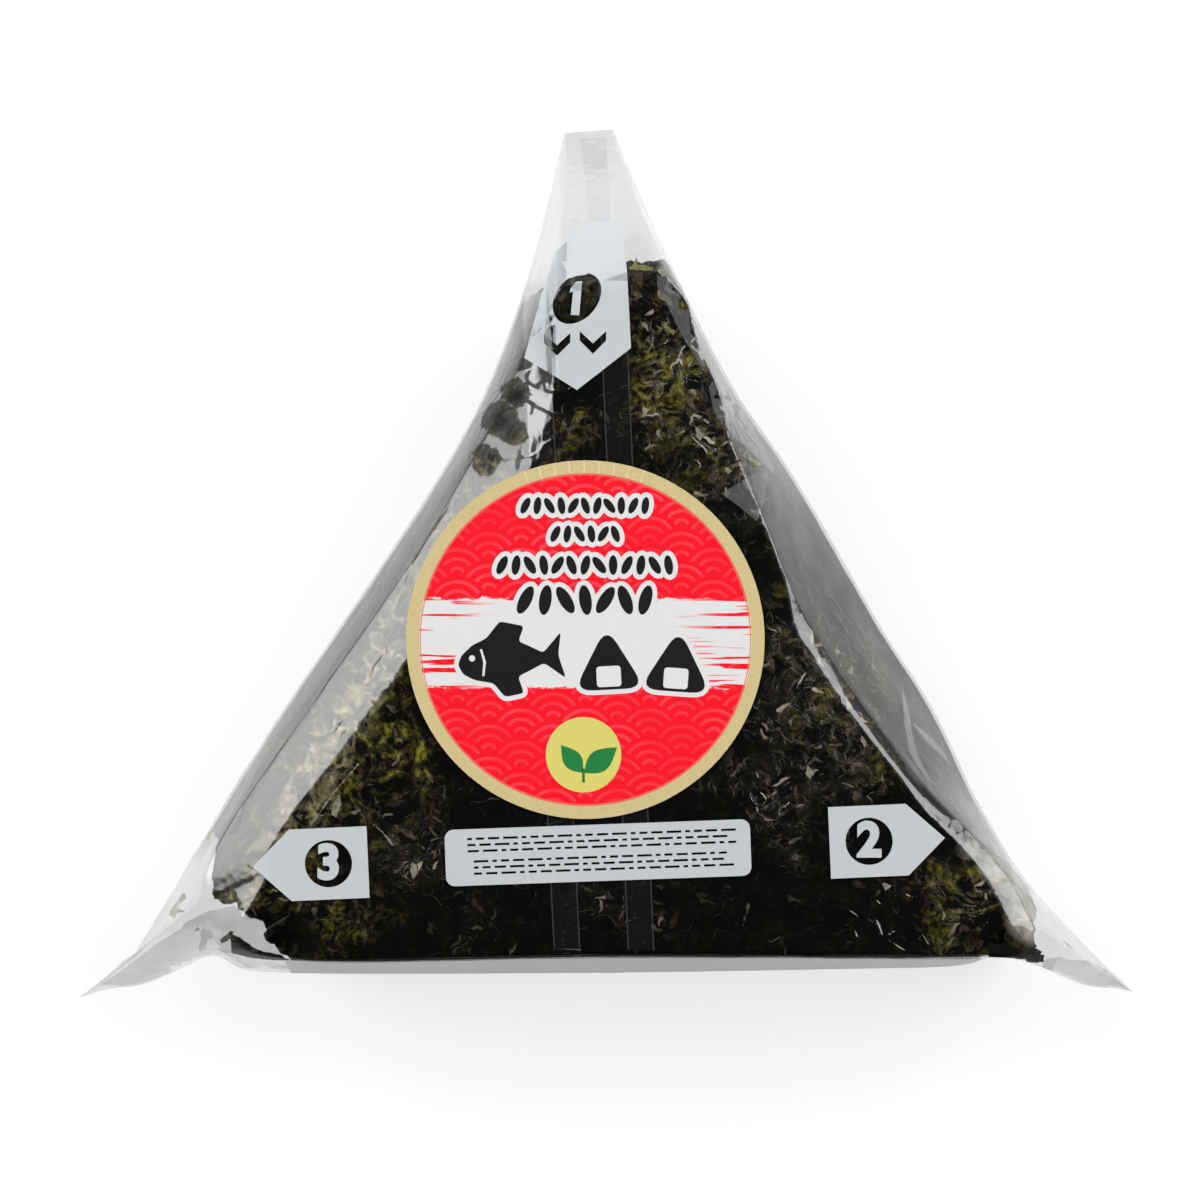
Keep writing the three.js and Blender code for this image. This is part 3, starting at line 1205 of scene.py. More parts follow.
def inset_skin(depth, relief=no_relief):
    """The pack's skin moved inwards, with a relief as a function of place."""
    bm = pack_skin()
    bm.normal_update()
    moves = {v: depth + relief(v.co) for v in bm.verts}
    for v, move in moves.items():
        v.co -= v.normal * move
        v.co.z = min(max(v.co.z, PACK_LOW.z + depth), PACK_HIGH.z - FACE_SHARE * depth)
    return bm


def common(bm, cutter):
    """The part of a closed bmesh inside another."""
    tool = as_object("cutter", cutter)
    result = evaluated(bm, "BOOLEAN", operation="INTERSECT", solver="MANIFOLD", object=tool)
    discard(tool)
    return result


# ---------------------------------------------------------------- operators


# Dents in the film: x, y and radii in millimetres, and turn in degrees.
DENTS = [
    (-10.2, 17.6, 1.1, 0.6, 35), (-10.6, 14.3, 1.4, 0.8, 40), (-12.6, 11.2, 0.5, 1.5, -20),
    (-9.9, 10.8, 0.45, 1.4, -12), (-7.4, 12.6, 0.45, 1.6, -5), (-20.5, -3.2, 0.5, 1.6, -32),
    (-24.4, -9.8, 0.5, 1.9, -30), (-28.2, -17.6, 0.5, 1.7, -28), (33.2, -21.6, 0.7, 0.9, 0),
    (28.4, -15.0, 0.4, 0.8, 60), (-14.2, 6.4, 0.5, 1.2, -30),
]
BALL_APEX = Vector((-0.6, 37.4)) * MM
BALL_RIGHT = Vector((47.5, -41.8)) * MM
BALL_LEFT = Vector((-45.5, -41.8)) * MM
FILM_MARGIN = 0.05 * MM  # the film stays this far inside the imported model's faces


class RICEBALL_OT_film(bpy.types.Operator):
    """Builds the clear film: its faces, sides, ears and tab"""

    bl_idname = "riceball.film"
    bl_label = "Film"

    def execute(self, context):
        film = settings(context, "film")
        bm = pack_skin()
        bm.normal_update()
        moves = {v: v.normal * self.shift(v.co, film) for v in bm.verts}
        for v, move in moves.items():
            v.co += move
            v.co.z = min(max(v.co.z, PACK_LOW.z + FILM_MARGIN), PACK_HIGH.z - FILM_MARGIN)
        piece = new_piece("film", bm, film_finish(film), sharp=math.radians(30))
        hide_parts("film_pack")
        return {"FINISHED"}

    @staticmethod
    def shift(place, film):
        """How far the film at a place stands off its plain shape."""
        under_label = (place - LABEL_CENTRE).to_2d().length < LABEL_RADIUS + 1 * MM
        press = 0.0 if under_label and place.z > MIDDLE else 1.0
        loose = smooth(2 * MM, 7 * MM, beyond_ball(place))
        ripple = wave(place, 7 * MM) + 0.5 * wave(place, 3.2 * MM, 5)
        folds = ridge(place, 7 * MM, 9) - 0.75 + 0.4 * wave(place, 3 * MM, 3)
        dent = 0.0
        if place.z > MIDDLE:
            for x, y, across, up, turn in DENTS:
                arm = Matrix.Rotation(math.radians(-turn), 2) @ (place.to_2d() - Vector((x, y)) * MM)
                dent += math.exp(-((arm.x / across / MM) ** 2) - (arm.y / up / MM) ** 2)
        held = smooth(0.3 * MM, 3 * MM, abs(place.z - MIDDLE))
        waves = film.ripple * (ripple - 1) * press + film.crease * loose * folds
        return waves * held - film.dent * dent


def beyond_ball(place):
    """How far a place lies outside the straight-sided outline of the rice ball."""
    flat = place.to_2d()
    corners = [BALL_APEX, BALL_RIGHT, BALL_LEFT]
    if geometry.intersect_point_tri_2d(flat, *corners):
        return 0.0
    nearest = []
    for start, end in zip(corners, corners[1:] + corners[:1]):
        _, share = geometry.intersect_point_line(flat, start, end)
        nearest.append((start.lerp(end, min(max(share, 0), 1)) - flat).length)
    return min(nearest)


def film_tree():
    """The film's surface, for laying pieces on it or inside it."""
    film = bpy.data.objects["film"]
    return BVHTree.FromObject(film, bpy.context.evaluated_depsgraph_get())


SHEET_THICKNESS = 0.4 * MM


class RICEBALL_OT_seaweed(bpy.types.Operator):
    """Builds the sheet of seaweed round the rice, torn at its left corner"""

    bl_idname = "riceball.seaweed"
    bl_label = "Seaweed"

    def execute(self, context):
        seaweed = settings(context, "seaweed")

        def relief(place):
            return -seaweed.crag * self.crags(place)

        outer = inset_skin(seaweed.clearance, relief)
        inner = inset_skin(seaweed.clearance + SHEET_THICKNESS, relief)
        bmesh.ops.reverse_faces(inner, faces=inner.faces)
        shell = joined(outer, inner)
        whole = prism(ragged(polygon(*SHEET), 0.2 * MM, 0.38 * MM))
        sheet = common(shell, whole)
        new_piece("seaweed", sheet, seaweed_finish(seaweed), sharp=math.radians(60))
        return {"FINISHED"}

    @staticmethod
    def crags(place):
        """The sheet's relief: rice grains that press through it, and its own crinkles."""
        grains = wave(place, 2.6 * MM, 2)
        crinkles = ridge(place, 4.5 * MM, 7) - 0.8
        return 0.35 * grains + 0.7 * crinkles - 0.25


class RICEBALL_OT_rice(bpy.types.Operator):
    """Builds the pressed rice inside the seaweed"""

    bl_idname = "riceball.rice"
    bl_label = "Rice"

    def execute(self, context):
        rice = settings(context, "rice")
        depth = settings(context, "seaweed").clearance + SHEET_THICKNESS + rice.inset
        body = common(inset_skin(depth), prism(polygon(*RICE)))
        new_piece("rice", body, rice_finish(rice), sharp=math.radians(50))
        return {"FINISHED"}


# Loose scraps of seaweed between the film and the sheet, in millimetres: dark, olive and pale ones. Some
# pale ones are
# painted highlights: thin bright lines along creases and small glints.
DARK_SCRAPS = [
    [(-40.0, -39.8), (-39.9, -39.3), (-38.5, -40.1), (-37.2, -40.8), (-36.2, -41.1), (-34.6, -41.5),
     (-33.6, -42.0), (-33.7, -42.25), (-36.5, -42.2), (-40.1, -41.9)],
    [(40.6, -40.6), (42.2, -40.25), (43.67, -41.0), (45.6, -41.7), (46.75, -41.7), (46.75, -42.6),
     (45.1, -42.6), (43.65, -42.25), (41.7, -41.97), (40.5, -41.9)],
]
OLIVE_SCRAPS = [
    [(-45.5, -35.3), (-45.0, -35.3), (-44.8, -35.9), (-45.2, -36.1), (-45.9, -36.6), (-46.1, -37.0),
     (-45.0, -37.1), (-45.9, -37.4), (-46.1, -37.9), (-47.2, -38.0), (-46.8, -37.2), (-46.2, -36.3)],
    [(-42.9, -29.1), (-42.5, -28.9), (-42.5, -29.7), (-43.1, -29.8)],
    [(-39.9, -39.0), (-39.4, -39.1), (-40.2, -40.1), (-41.0, -40.6), (-41.1, -40.1), (-40.4, -39.5)],
    [(-43.9, -39.2), (-43.6, -38.9), (-43.3, -38.9), (-43.5, -39.15)],
    [(3.0, 32.9), (3.3, 32.4), (3.45, 31.8), (5.0, 31.4), (4.9, 31.0), (3.1, 31.1), (2.2, 31.2),
     (2.85, 31.65), (3.05, 32.3)],
    [(6.0, 25.4), (7.4, 24.6), (7.1, 24.2), (6.2, 24.9)],
    [(15.2, 11.6), (16.6, 10.5), (16.1, 10.3), (15.0, 11.1)],
]
PALE_SCRAPS_AND_HIGHLIGHTS = [
    [(5.5, 29.0), (6.25, 28.5), (7.0, 27.75), (7.2, 27.1), (6.7, 27.4), (6.1, 27.9), (5.5, 28.3)],
    [(4.1, 26.3), (5.0, 27.0), (5.05, 26.65), (4.4, 26.2)],
    [(5.5, 31.0), (5.9, 31.2), (6.25, 30.4), (6.0, 30.4)],
    [(18.0, -15.6), (18.7, -14.9), (19.4, -14.8), (19.2, -15.3), (18.5, -15.9)],
    [(26.97, -18.1), (27.6, -18.9), (27.4, -19.6), (27.0, -18.9)],
    [(-28.3, -24.6), (-28.1, -25.5), (-28.6, -26.9), (-29.2, -26.8), (-29.0, -25.5)],
    [(-26.2, -21.2), (-27.6, -22.9), (-29.2, -24.9), (-31.5, -28.2), (-31.3, -27.6), (-29.0, -24.4)],
    [(-24.7, -27.7), (-23.7, -28.6), (-22.7, -29.9), (-22.9, -29.3), (-23.9, -28.3)],
    [(-20.6, -31.6), (-20.1, -32.0), (-20.0, -32.9), (-20.5, -33.4), (-20.8, -32.6)],
    [(9.6, 14.4), (10.3, 13.7), (10.0, 12.9), (9.5, 13.4)],
    [(12.6, 10.2), (13.4, 9.8), (12.9, 9.4)],
    [(21.4, -21.5), (22.0, -22.3), (21.7, -23.0), (21.2, -22.2)],
    [(29.4, -33.9), (30.2, -34.2), (29.6, -34.8)],
]


class RICEBALL_OT_scraps(bpy.types.Operator):
    """Builds the loose scraps of seaweed between the film and the sheet, with some painted highlights among
    the pale ones
    """

    bl_idname = "riceball.scraps"
    bl_label = "Scraps"

    def execute(self, context):
        tree = film_tree()
        for name, scraps, colour, cover in [
            ("dark_scraps", DARK_SCRAPS, (0.006, 0.0055, 0.003), 1.0),
            ("olive_scraps", OLIVE_SCRAPS, (0.42, 0.4, 0.13), 0.8),
            ("pale_scraps_and_highlights", PALE_SCRAPS_AND_HIGHLIGHTS, (0.6, 0.54, 0.4), 0.8),
        ]:
            parts = []
            for index, corners in enumerate(scraps):
                outline = ragged(polygon(*corners), 0.1 * MM, 0.16 * MM, index)
                parts.append(laid_on(flat_mesh(outline), tree, SCRAP_LIFT, SCRAP_THICKNESS))
            new_piece(name, joined(*parts), scrap_finish(name, colour, cover))
        return {"FINISHED"}


# Where the film lies double under itself, in the ears and the tab, in millimetres.
FOLDS = [
    [(-42.5, -37.05), (-39.5, -36.4), (-38.0, -37.2), (-36.2, -37.9), (-36.0, -39.9), (-33.8, -41.6),
     (-40.6, -41.8), (-42.2, -42.5), (-45.4, -43.9), (-51.8, -46.0), (-56.7, -46.95), (-52.3, -43.9),
     (-48.1, -40.7), (-45.5, -39.1), (-44.9, -38.3)],
    [(46.9, -42.3), (48.6, -42.1), (49.6, -42.5), (50.6, -42.6), (51.9, -42.7), (54.2, -43.9),
     (57.0, -46.4), (52.2, -45.7), (48.0, -44.0), (46.8, -43.3)],
]
TAB_FOLDS = [[(-2.8, 46.3), (0.0, 46.3), (0.5, 36.5), (-1.7, 36.5)]]
# Painted shade: thin dark lines along the film's creases, as points and a width in millimetres.
CREASE_SHADE_LINES = [
    [(-25.9, -7.2), (-28.6, -11.0), (-31.4, -15.5), (-34.7, -20.0), (-38.7, -25.9), (-39.2, -27.7),
     (-39.4, -28.4), (-41.2, -28.8)],
    [(21.2, -5.4), (28.6, -16.9), (34.0, -23.9), (37.5, -27.5), (39.3, -29.3), (41.9, -31.4),
     (43.4, -32.6), (45.4, -35.0), (45.7, -36.5)],
    [(48.9, -40.4), (49.5, -40.8), (50.2, -41.5)],
]
CREASE_SHADE_WIDTH = 0.15


def stroke(points, width):
    """The outline of a thin line through points, narrower at its ends, in millimetres."""
    sides = [[], []]
    for index, place in enumerate(points):
        ahead, behind = points[min(index + 1, len(points) - 1)], points[max(index - 1, 0)]
        end = index in (0, len(points) - 1)
        across = (Vector(ahead) - Vector(behind)).orthogonal().normalized() * width * (0.15 if end else 0.5)
        sides[0].append(Vector(place) + across)
        sides[1].append(Vector(place) - across)
    return polygon(*sides[0], *reversed(sides[1]))


# Facets of the film that stand off the seaweed, from clear to hazier: milky patches that are a painted grey
# sheen.
UPPER_FACET = [
    (11.4, 19.5), (10.9, 18.7), (11.2, 17.1), (11.5, 15.9), (12.2, 14.9), (13.8, 13.2), (15.4, 11.9),
    (16.3, 11.1), (17.4, 10.1), (18.2, 9.6), (17.0, 12.6), (15.0, 16.4), (13.3, 18.4),
]
LOWER_FACET = [
    (12.2, 7.4), (14.2, 8.6), (15.6, 9.5), (17.3, 9.8), (16.8, 6.6), (16.0, 4.4), (14.2, 5.95),
]
EDGE_FACET = [
    (5.4, 31.6), (6.8, 31.4), (8.9, 27.5), (10.4, 22.9), (11.6, 20.4), (10.5, 20.2), (8.6, 23.2),
    (7.6, 25.0), (6.4, 27.6), (5.4, 29.4),
]
SHEEN_FACETS = [UPPER_FACET, LOWER_FACET, EDGE_FACET]
# Painted reflections: hazy patches of film that stand in for bright reflections, in the left ear and down
# the right side.
GLINTS = [
    [(-43.0, -38.9), (-42.0, -39.2), (-41.8, -39.9), (-42.5, -40.1), (-42.8, -41.2), (-43.7, -42.0),
     (-43.6, -40.9), (-43.2, -40.2), (-43.3, -39.5)],
    [(-46.0, -35.9), (-45.7, -35.9), (-45.9, -37.2), (-46.3, -37.4)],
]
REFLECTION_STREAKS = [
    [(32.0, -13.0), (31.9, -17.0), (32.3, -20.0), (33.2, -21.6), (34.7, -23.4), (33.6, -21.2),
     (32.9, -19.0), (32.6, -16.0)],
    [(32.9, -17.0), (34.7, -18.4), (36.4, -20.2), (37.5, -22.0), (36.0, -20.5), (34.4, -19.1)],
]


class RICEBALL_OT_folds(bpy.types.Operator):
    """Builds the film's folds, and its painted sheen, reflections and shade: hazy facets, streaks, glints
    and dark crease lines
    """

    bl_idname = "riceball.folds"
    bl_label = "Folds"

    def execute(self, context):
        film = settings(context, "film")
        tree = film_tree()
        creases = [stroke(points, CREASE_SHADE_WIDTH) for points in CREASE_SHADE_LINES]
        for name, outlines, haze, tint, shine in [
            ("ear_folds", [polygon(*fold) for fold in FOLDS], 0.02, (0.84, 0.835, 0.835), 1.0),
            ("tab_folds", [polygon(*fold) for fold in TAB_FOLDS], 0.01, (0.97, 0.97, 0.97), 0.6),
            # Painted sheen: hazy facets.
            ("facets", [polygon(*facet) for facet in SHEEN_FACETS], 0.1, film.tint, 0.25),
            # Painted reflections: hazy streaks and glints.
            ("streaks", [polygon(*streak) for streak in REFLECTION_STREAKS], 0.13, film.tint, 0.3),
            ("glints", [polygon(*glint) for glint in GLINTS], 0.24, film.tint, 1.0),
            # Painted shade along the creases: nearly black film.
            ("creases", creases, 0.0, (0.14, 0.14, 0.14), 0.3),
        ]:
            flat = joined(*[flat_mesh(outline) for outline in outlines])
            laid = laid_on(flat, tree, FOLD_LIFT, STRIP_THICKNESS)
            new_piece(name, laid, film_finish(film, name, haze, tint, shine))
        return {"FINISHED"}


# Two clear tear tapes under the film's face, as centre lines from the tab to the base.
TAPES = [((-7.6, 29.0), (-4.1, -42.0)), ((0.6, 30.0), (3.75, -42.0))]
TAPE_WIDTH, TAPE_EDGE_WIDTH = 2.7, 0.13
BASE_PANEL = (-34.2, 39.9, 3.0, 30.9)  # low and high X, low and high Z
PANEL_PAINTED_SHADE = 0.73  # painted shade: the panel's ink is made darker than that of the marks


class RICEBALL_OT_tapes(bpy.types.Operator):
    """Builds the two clear tear tapes and the white panel on the base"""

    bl_idname = "riceball.tapes"
    bl_label = "Tapes"

    def execute(self, context):
        film = settings(context, "film")
        tree = film_tree()
        bands, rims = [], []
        for start, end in TAPES:
            start, end = Vector(start), Vector(end)
            along = end - start
            turn = math.degrees(math.atan2(along.y, along.x))
            middle = (start + end) / 2
            side = along.orthogonal().normalized() * TAPE_WIDTH / 2
            bands.append(flat_mesh(bar(middle, along.length, TAPE_WIDTH, 0, turn)))
            for shift in (side, -side):
                rims.append(flat_mesh(bar(middle + shift, along.length, TAPE_EDGE_WIDTH, 0, turn)))
        laid = laid_on(joined(*bands), tree, TAPE_LIFT, STRIP_THICKNESS)
        new_piece("tear_tapes", laid, film_finish(film, "tape_film", 0.006))
        laid = laid_on(joined(*rims), tree, TAPE_EDGE_LIFT, STRIP_THICKNESS)
        new_piece("tape_edges", laid, film_finish(film, "tape_edge", 0.05))
        self.base_panel(context, tree)
        return {"FINISHED"}

    @staticmethod
    def base_panel(context, tree):
        """The white panel printed on the base: drawn flat, stood up and pressed onto the film."""
        left, right, low, high = BASE_PANEL
        bm = flat_mesh(bar(((left + right) / 2, (low + high) / 2), right - left, high - low, 0.3))
        cut_into_cells(bm, bm.faces[:], CELL_PITCH)
        bmesh.ops.rotate(bm, verts=bm.verts, matrix=Matrix.Rotation(math.pi / 2, 3, "X"))
        for v in bm.verts:
            hit = tree.ray_cast(v.co - INTO_BASE * RAY_START, INTO_BASE)[0]
            v.co = hit - INTO_BASE * PRINT_LIFT
        ink = settings(context, "print")
        thicken(bm, -INTO_BASE * ink.thickness)
        finish = ink_finish([PANEL_PAINTED_SHADE * part for part in ink.ink], "panel_ink")
        new_piece("base_panel", bm, finish)


# Places of the printed marks, in millimetres.
PULL_MARK = [
    (-8.71, 21.86), (-3.09, 18.36), (2.64, 22.81), (2.21, 31.08), (1.6, 36.7), (-1.73, 36.7),
    (-5.46, 33.2), (-6.94, 28.6),
]
ONE = [(0.65, 1.82), (0.34, -1.79), (-0.57, -1.76), (-0.31, 0.74), (-0.68, 0.6), (-0.56, 1.08), (0.0, 1.8)]
CHEVRON = [(-1.4, 1.5), (0, 0.2), (1.4, 1.5), (1.4, 0.5), (0, -0.9), (-1.4, 0.5)]
CHEVRON_PLACES = [(-5.2, 22.9), (-1.4, 23.1)]
ARROW_LENGTH, ARROW_HEIGHT, ARROW_HEAD = 12.25, 7.6, 4.0
ARROW_HOLE, ARROW_HOLE_FROM_BACK = 2.5, 4.2
ARROWS = {"3": ((-25.24, -31.67), 182.5), "2": ((23.68, -29.66), 2.5)}  # back's middle, turn
DIGIT_SIZE, DIGIT_GROW = 5.0, 0.24 * MM
NOTE_CENTRE, NOTE_SIZE, NOTE_TURN = (-0.86, -30.7), (32.4, 6.0), 2.06
NOTE_ROWS = [(-13.8, 13.9), (-13.2, 13.2)]  # where the lines of each row start and end
DASH_HEIGHT, DASH_GAP = 0.24, 0.42


def arrow(digit):
    """The outline, hole and number of an arrow-shaped mark."""
    (x, y), turn = ARROWS[digit]
    spin = Matrix.Rotation(math.radians(turn), 2)
    half = ARROW_HEIGHT / 2
    neck = ARROW_LENGTH - ARROW_HEAD
    corners = [(0, -half), (neck, -half), (ARROW_LENGTH, 0), (neck, half), (0, half)]
    outline = polygon(*[Vector((x, y)) + spin @ Vector(corner) for corner in corners])
    hub = Vector((x, y)) + spin @ Vector((ARROW_HOLE_FROM_BACK, 0))
    hole = ellipse(hub, ARROW_HOLE)
    return joined(flat_mesh(outline, hole), digit_mesh(digit, hub, DIGIT_SIZE, DIGIT_GROW))


def pull_mark():
    """The pentagon under the tab, with its number and two cut-out chevrons."""
    hole = ellipse((-3.1, 28.1), 3.05, 2.2, turn=50)
    chevrons = [
        polygon(*[(x + dx, y + dy) for dx, dy in CHEVRON]) for x, y in CHEVRON_PLACES
    ]
    one = polygon(*[(x - 3.19, y + 28.08) for x, y in ONE])
    return joined(flat_mesh(polygon(*PULL_MARK), hole, *chevrons), flat_mesh(one))


def note_box():
    """The rounded box, with two rows of fine dashes."""
    spin = Matrix.Rotation(math.radians(NOTE_TURN), 2)
    dashes = []
    for row, (start, end) in enumerate(NOTE_ROWS):
        for line in range(3):
            x = start
            step = 3 * row + 5 * line
            y = 1.95 - 2.4 * row - 0.65 * line
            while x < end:
                width = 0.5 + 0.35 * ((step * 5) % 4)
                middle = Vector(NOTE_CENTRE) + spin @ Vector((x + width / 2, y))
                dashes.append(bar(middle, width, DASH_HEIGHT, 0, NOTE_TURN))
                x += width + DASH_GAP
                step += 1
    return flat_mesh(bar(NOTE_CENTRE, *NOTE_SIZE, 0.95, NOTE_TURN), *dashes)


class RICEBALL_OT_prints(bpy.types.Operator):
    """Prints the numbered marks and the note box on the film"""

    bl_idname = "riceball.prints"
    bl_label = "Prints"

    def execute(self, context):
        ink = settings(context, "print")
        tree = film_tree()
        marks = {
            "mark_1": pull_mark(),
            "mark_2": arrow("2"),
            "mark_3": arrow("3"),
            "note_box": note_box(),
        }
        finish = ink_finish(ink.ink)
        for name, bm in marks.items():
            new_piece(name, laid_on(bm, tree, PRINT_LIFT, ink.thickness), finish)
        return {"FINISHED"}


FISH = [
    (-4.6, 0.1), (-4.2, 0.9), (-3.2, 1.7), (-1.9, 2.2), (-0.6, 3.6), (1.5, 3.0), (0.9, 1.7),
    (2.0, 1.1), (3.0, 0.5), (4.7, 2.2), (4.3, 0.2), (4.8, -1.9), (3.0, -0.4), (1.6, -1.0),
    (0.6, -1.4), (1.0, -2.9), (-0.7, -3.1), (-1.6, -1.8), (-3.2, -1.4), (-4.2, -0.8),
]
LABEL_LIFT = 0.012 * MM  # between one layer of print and the next
# Rows of rice grains on the label: height of the row's middle, number of grains, half length and
# half width of a grain and distance from one grain to the next, in millimetres.
LABEL_ROWS = [
    (14.2, 11, 0.92, 0.4, 1.27),
    (11.2, 6, 0.92, 0.4, 1.27),
    (7.9, 13, 1.05, 0.46, 1.47),
    (4.2, 7, 1.6, 0.66, 2.12),
]
GRAIN_LEANS = [64, 82, 121, 98, 58, 110, 75, 128, 90]  # degrees, grain by grain
RICE_BALLS = [(2.4, -2.3, 3), (9.7, -2.5, -4)]  # place in millimetres and turn in degrees
SPRIG_HUB = (-0.2, -12.2)
OUTLINE_WIDTH = 0.5 * MM  # of the white round the dark figures
SLIT_COUNT, SLIT_FIRST, SLIT_PITCH = 9, -20, 4.9  # angles in degrees from the label's top
SLIT_INSET, SLIT_SIZE = 0.72, (0.11, 1.3)
LEAF = [
    Vector((4.4 * MM * share, 1.15 * MM * side * math.sin(math.pi * share) * (1.25 - 0.5 * share)))
    for side, shares in ((1, [k / 12 for k in range(13)]), (-1, [k / 12 for k in range(11, 0, -1)]))
    for share in shares
]


def moved(outlines, x, y, turn=0.0, scale=1.0):
    """Outlines in millimetres, turned, scaled and moved to a place on the label."""
    spin = Matrix.Rotation(math.radians(turn), 2) * scale
    hub = Vector((x, y)) * MM + LABEL_CENTRE.to_2d()
    return [[hub + spin @ point for point in outline] for outline in outlines]


def rounded(corners, rounding):
    """An outline with rounded corners, from its corners in millimetres."""
    points = []
    count = len(corners)
    for index in range(count):
        corner = Vector(corners[index])
        before = (Vector(corners[index - 1]) - corner).normalized() * rounding
        after = (Vector(corners[(index + 1) % count]) - corner).normalized() * rounding
        for step in range(7):
            share = step / 6
            start = (corner + before).lerp(corner, share)
            points.append(start.lerp(corner.lerp(corner + after, share), share) * MM)
    return points


class RICEBALL_OT_label(bpy.types.Operator):
    """Prints the round paper label with a fish, rice balls, rice grains and a sprig"""

    bl_idname = "riceball.label"
    bl_label = "Label"

    def execute(self, context):
        label = settings(context, "label")
        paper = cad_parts["round_label"]
        paper.data.materials.clear()
        paper.data.materials.append(label_finish(label))
        white = plain_finish("label_white", label.white)
        black = plain_finish("label_black", (0.006, 0.006, 0.006), 0.35)
        dark = [
            self.fish(),
            *[self.rice_ball(*place) for place in RICE_BALLS],
            *self.grains(),
        ]
        # The outlines of neighbouring grains overlap, so every other one lies a little higher.
        for name, shapes, level in [
            ("label_outlines", dark[::2], 1),
            ("label_outlines_upper", dark[1::2], 1.35),
        ]:
            outlined = joined(*[flat_mesh(shape[0], grow=OUTLINE_WIDTH) for shape in shapes])
            self.layer(name, outlined, white, level)
        self.layer("label_figures", joined(*[flat_mesh(*shape) for shape in dark]), black, 2)
        self.layer("label_slits", self.slits(), plain_finish("label_slit", (0.8, 0.7, 0.5)), 1)
        self.sprig()
        return {"FINISHED"}

    @staticmethod
    def layer(name, bm, material, level):
        """One layer of print on the label's face."""
        for v in bm.verts:
            v.co.z = LABEL_HIGH.z + LABEL_LIFT * (level - 1)
        turn_towards(bm, UP)
        thicken(bm, UP * LABEL_LIFT)
        new_piece(name, bm, material)

    @staticmethod
    def fish():
        """One fish, its fins part of its outline."""
        eye = ellipse((-3.3, 0.55), 0.28)
        gill = polygon((-2.35, 1.3), (-2.1, 0.1), (-2.35, -1.1), (-2.55, -1.1), (-2.35, 0.1), (-2.55, 1.3))
        return moved([rounded(FISH, 0.35), eye, gill], -8.0, -2.3, turn=5, scale=1.2)

    @staticmethod
    def rice_ball(x, y, turn):
        """One rice ball with a window in it."""
        outline = rounded([(-3.8, -3.0), (3.8, -3.0), (0, 3.7)], 2.1)
        window = bar((0, -1.6), 2.6, 2.2, 0.35)
        return moved([outline, window], x, y, turn=turn)

    @staticmethod
    def grains():
        """Rows of rice grains that lean to and fro."""
        shapes = []
        for y, count, long, wide, pitch in LABEL_ROWS:
            for step in range(count):
                x = (step - (count - 1) / 2) * pitch
                lean = GRAIN_LEANS[step % len(GRAIN_LEANS)]
                shapes.append(moved([ellipse((0, 0), long, wide, sides=20)], x, y, turn=lean))
        return shapes

    @staticmethod
    def slits():
        """The short cuts across the top of the gold ring."""
        parts = []
        reach = LABEL_RADIUS / MM - SLIT_INSET
        for step in range(SLIT_COUNT):
            angle = math.radians(SLIT_FIRST + step * SLIT_PITCH)
            place = (reach * math.sin(angle), reach * math.cos(angle))
            slit = moved([bar((0, 0), *SLIT_SIZE)], *place, turn=-math.degrees(angle))
            parts.append(flat_mesh(*slit))
        return joined(*parts)

    def sprig(self):
        """A yellow disc with two green leaves."""
        yellow = flat_mesh(*moved([ellipse((0, 0), 4.0)], *SPRIG_HUB))
        self.layer("label_disc", yellow, plain_finish("label_yellow", (0.75, 0.68, 0.16)), 1)
        leaves = [
            flat_mesh(*moved([LEAF], SPRIG_HUB[0] + dx, SPRIG_HUB[1] + dy, turn=turn, scale=size))
            for dx, dy, turn, size in [(0.1, -1.9, 38, 1.0), (-0.1, -1.9, 128, 0.85)]
        ]
        leaves.append(flat_mesh(*moved([bar((0, -2.2), 0.3, 1.5, 0.1)], *SPRIG_HUB)))
        green = plain_finish("label_green", (0.01, 0.22, 0.045))
        self.layer("label_leaves", joined(*leaves), green, 2)


# Each softbox: azimuth from the tab's side and elevation in degrees, width and height in metres, and
# brightness as a share of the stage's setting.
SOFTBOXES = {
    "left": (-60, 45, 0.75, 0.75, 1.0),
    "right": (60, 45, 0.75, 0.75, 1.0),
}
SOFTBOX_DISTANCE = 1.1
# What the film reflects of the room, from straight down (0) to straight up (1).
ROOM_SHADES = [(0.0, (0.3, 0.3, 0.3, 1)), (0.5, (0.3, 0.3, 0.3, 1)), (0.8, (0.01, 0.01, 0.01, 1))]
BACKDROP = (0.95, 0.95, 0.95, 1)  # what the camera sees of the room
VIEW_CENTRE = Vector((-0.65, -3.9, 0)) * MM  # the point of the floor that the camera looks at


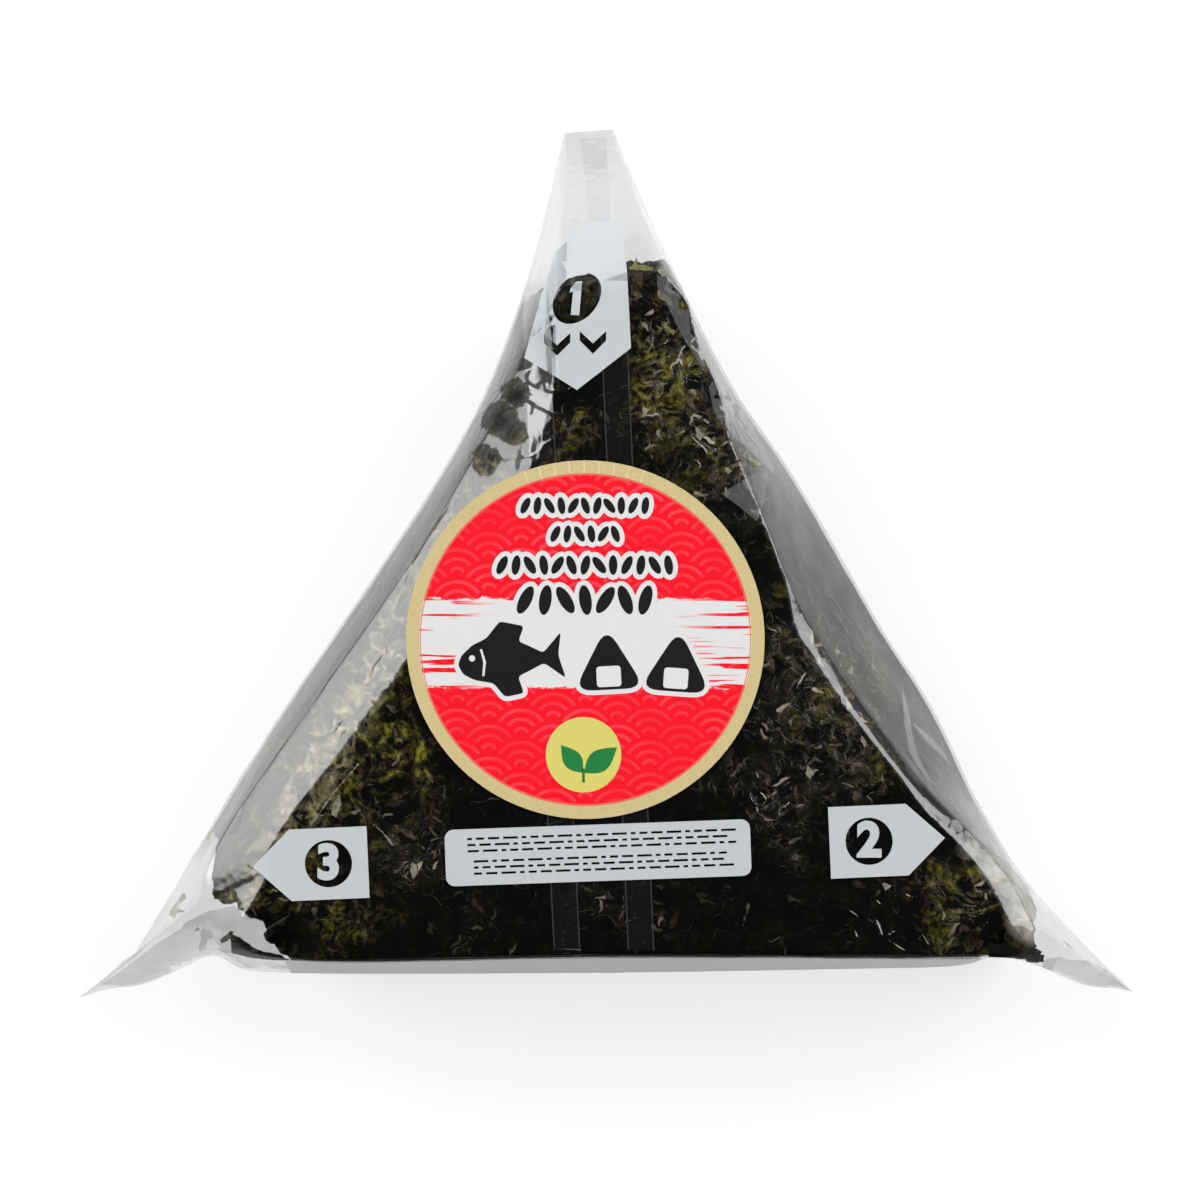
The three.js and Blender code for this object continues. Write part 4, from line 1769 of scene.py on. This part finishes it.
class RICEBALL_OT_stage(bpy.types.Operator):
    """Sets up the pale floor, the softboxes and the camera"""

    bl_idname = "riceball.stage"
    bl_label = "Stage"

    def execute(self, context):
        stage = settings(context, "stage")
        self.floor(stage)
        self.lights(stage)
        self.camera(context, stage)
        context.scene.view_settings.view_transform = "Standard"
        context.scene.cycles.max_bounces = 8
        context.scene.cycles.diffuse_bounces = 1
        context.scene.cycles.glossy_bounces = 2
        context.scene.cycles.adaptive_threshold = 0.05
        return {"FINISHED"}

    @staticmethod
    def floor(stage):
        bm = bmesh.new()
        bmesh.ops.create_grid(bm, x_segments=8, y_segments=8, size=3)
        floor = as_object("floor", bm)
        surface = Surface("floor")
        finish = surface.principled(
            Base_Color=(*stage.floor, 1),
            Roughness=0.8,
            Emission_Color=(1, 1, 1, 1),
            Emission_Strength=stage.floor_glow,
        )
        floor.data.materials.append(surface.finish(finish))

    @staticmethod
    def lights(stage):
        studio = Surface("studio", bpy.data.worlds, "ShaderNodeOutputWorld")
        way = studio.node("ShaderNodeTexCoord", {}, output="Generated")
        _, _, up = studio.parts(way)
        shades = studio.node("ShaderNodeValToRGB", {"stops": ROOM_SHADES}, up)
        room = studio.node("ShaderNodeBackground", {}, shades)
        backdrop = studio.node("ShaderNodeBackground", {}, BACKDROP)
        seen = studio.node("ShaderNodeLightPath", {}, output="Is Camera Ray")
        bpy.context.scene.world = studio.finish(studio.blend(seen, room, backdrop))
        for name, (azimuth, elevation, width, height, share) in SOFTBOXES.items():
            light = bpy.data.lights.new(f"softbox_{name}", "AREA")
            light.shape = "RECTANGLE"
            light.size = width
            light.size_y = height
            light.energy = math.pi * width * height * stage.softbox * share
            box = bpy.data.objects.new(light.name, light)
            turn, tilt = math.radians(azimuth), math.radians(elevation)
            away = Vector((math.sin(turn) * math.cos(tilt), math.cos(turn) * math.cos(tilt), math.sin(tilt)))
            box.location = away * SOFTBOX_DISTANCE
            box.rotation_euler = away.to_track_quat("Z", "Y").to_euler()
            box.visible_camera = False
            bpy.context.scene.collection.objects.link(box)

    @staticmethod
    def camera(context, stage):
        data = bpy.data.cameras.new("camera")
        data.sensor_width = 36
        data.lens = data.sensor_width * stage.camera_height / stage.view_width
        data.clip_start = 0.01
        camera = bpy.data.objects.new("camera", data)
        camera.location = VIEW_CENTRE + Vector((0, 0, FRONT + stage.camera_height))
        context.scene.collection.objects.link(camera)
        context.scene.camera = camera


OPERATORS = [
    RICEBALL_OT_film,
    RICEBALL_OT_seaweed,
    RICEBALL_OT_rice,
    RICEBALL_OT_scraps,
    RICEBALL_OT_folds,
    RICEBALL_OT_tapes,
    RICEBALL_OT_prints,
    RICEBALL_OT_label,
    RICEBALL_OT_stage,
]


class RICEBALL_PT_pieces(bpy.types.Panel):
    """Lists the pieces and their settings"""

    bl_idname = "RICEBALL_PT_pieces"
    bl_label = "Rice ball"
    bl_space_type = "VIEW_3D"
    bl_region_type = "UI"
    bl_category = "Rice ball"

    def draw(self, context):
        for group, kind in SETTINGS.items():
            box = self.layout.box()
            box.label(text=group.capitalize())
            for key in kind.__annotations__:
                box.prop(settings(context, group), key)
        for operator in OPERATORS:
            self.layout.operator(operator.bl_idname)


CLASSES = [*SETTINGS.values(), *OPERATORS, RICEBALL_PT_pieces]


def register():
    for kind in CLASSES:
        bpy.utils.register_class(kind)
    for group, kind in SETTINGS.items():
        setattr(bpy.types.Scene, f"riceball_{group}", PointerProperty(type=kind))


def unregister():
    for group in SETTINGS:
        delattr(bpy.types.Scene, f"riceball_{group}")
    for kind in reversed(CLASSES):
        bpy.utils.unregister_class(kind)


def main():
    register()
    for operator in OPERATORS:
        group, name = operator.bl_idname.split(".")
        getattr(getattr(bpy.ops, group), name)()


if __name__ == "__main__":
    main()
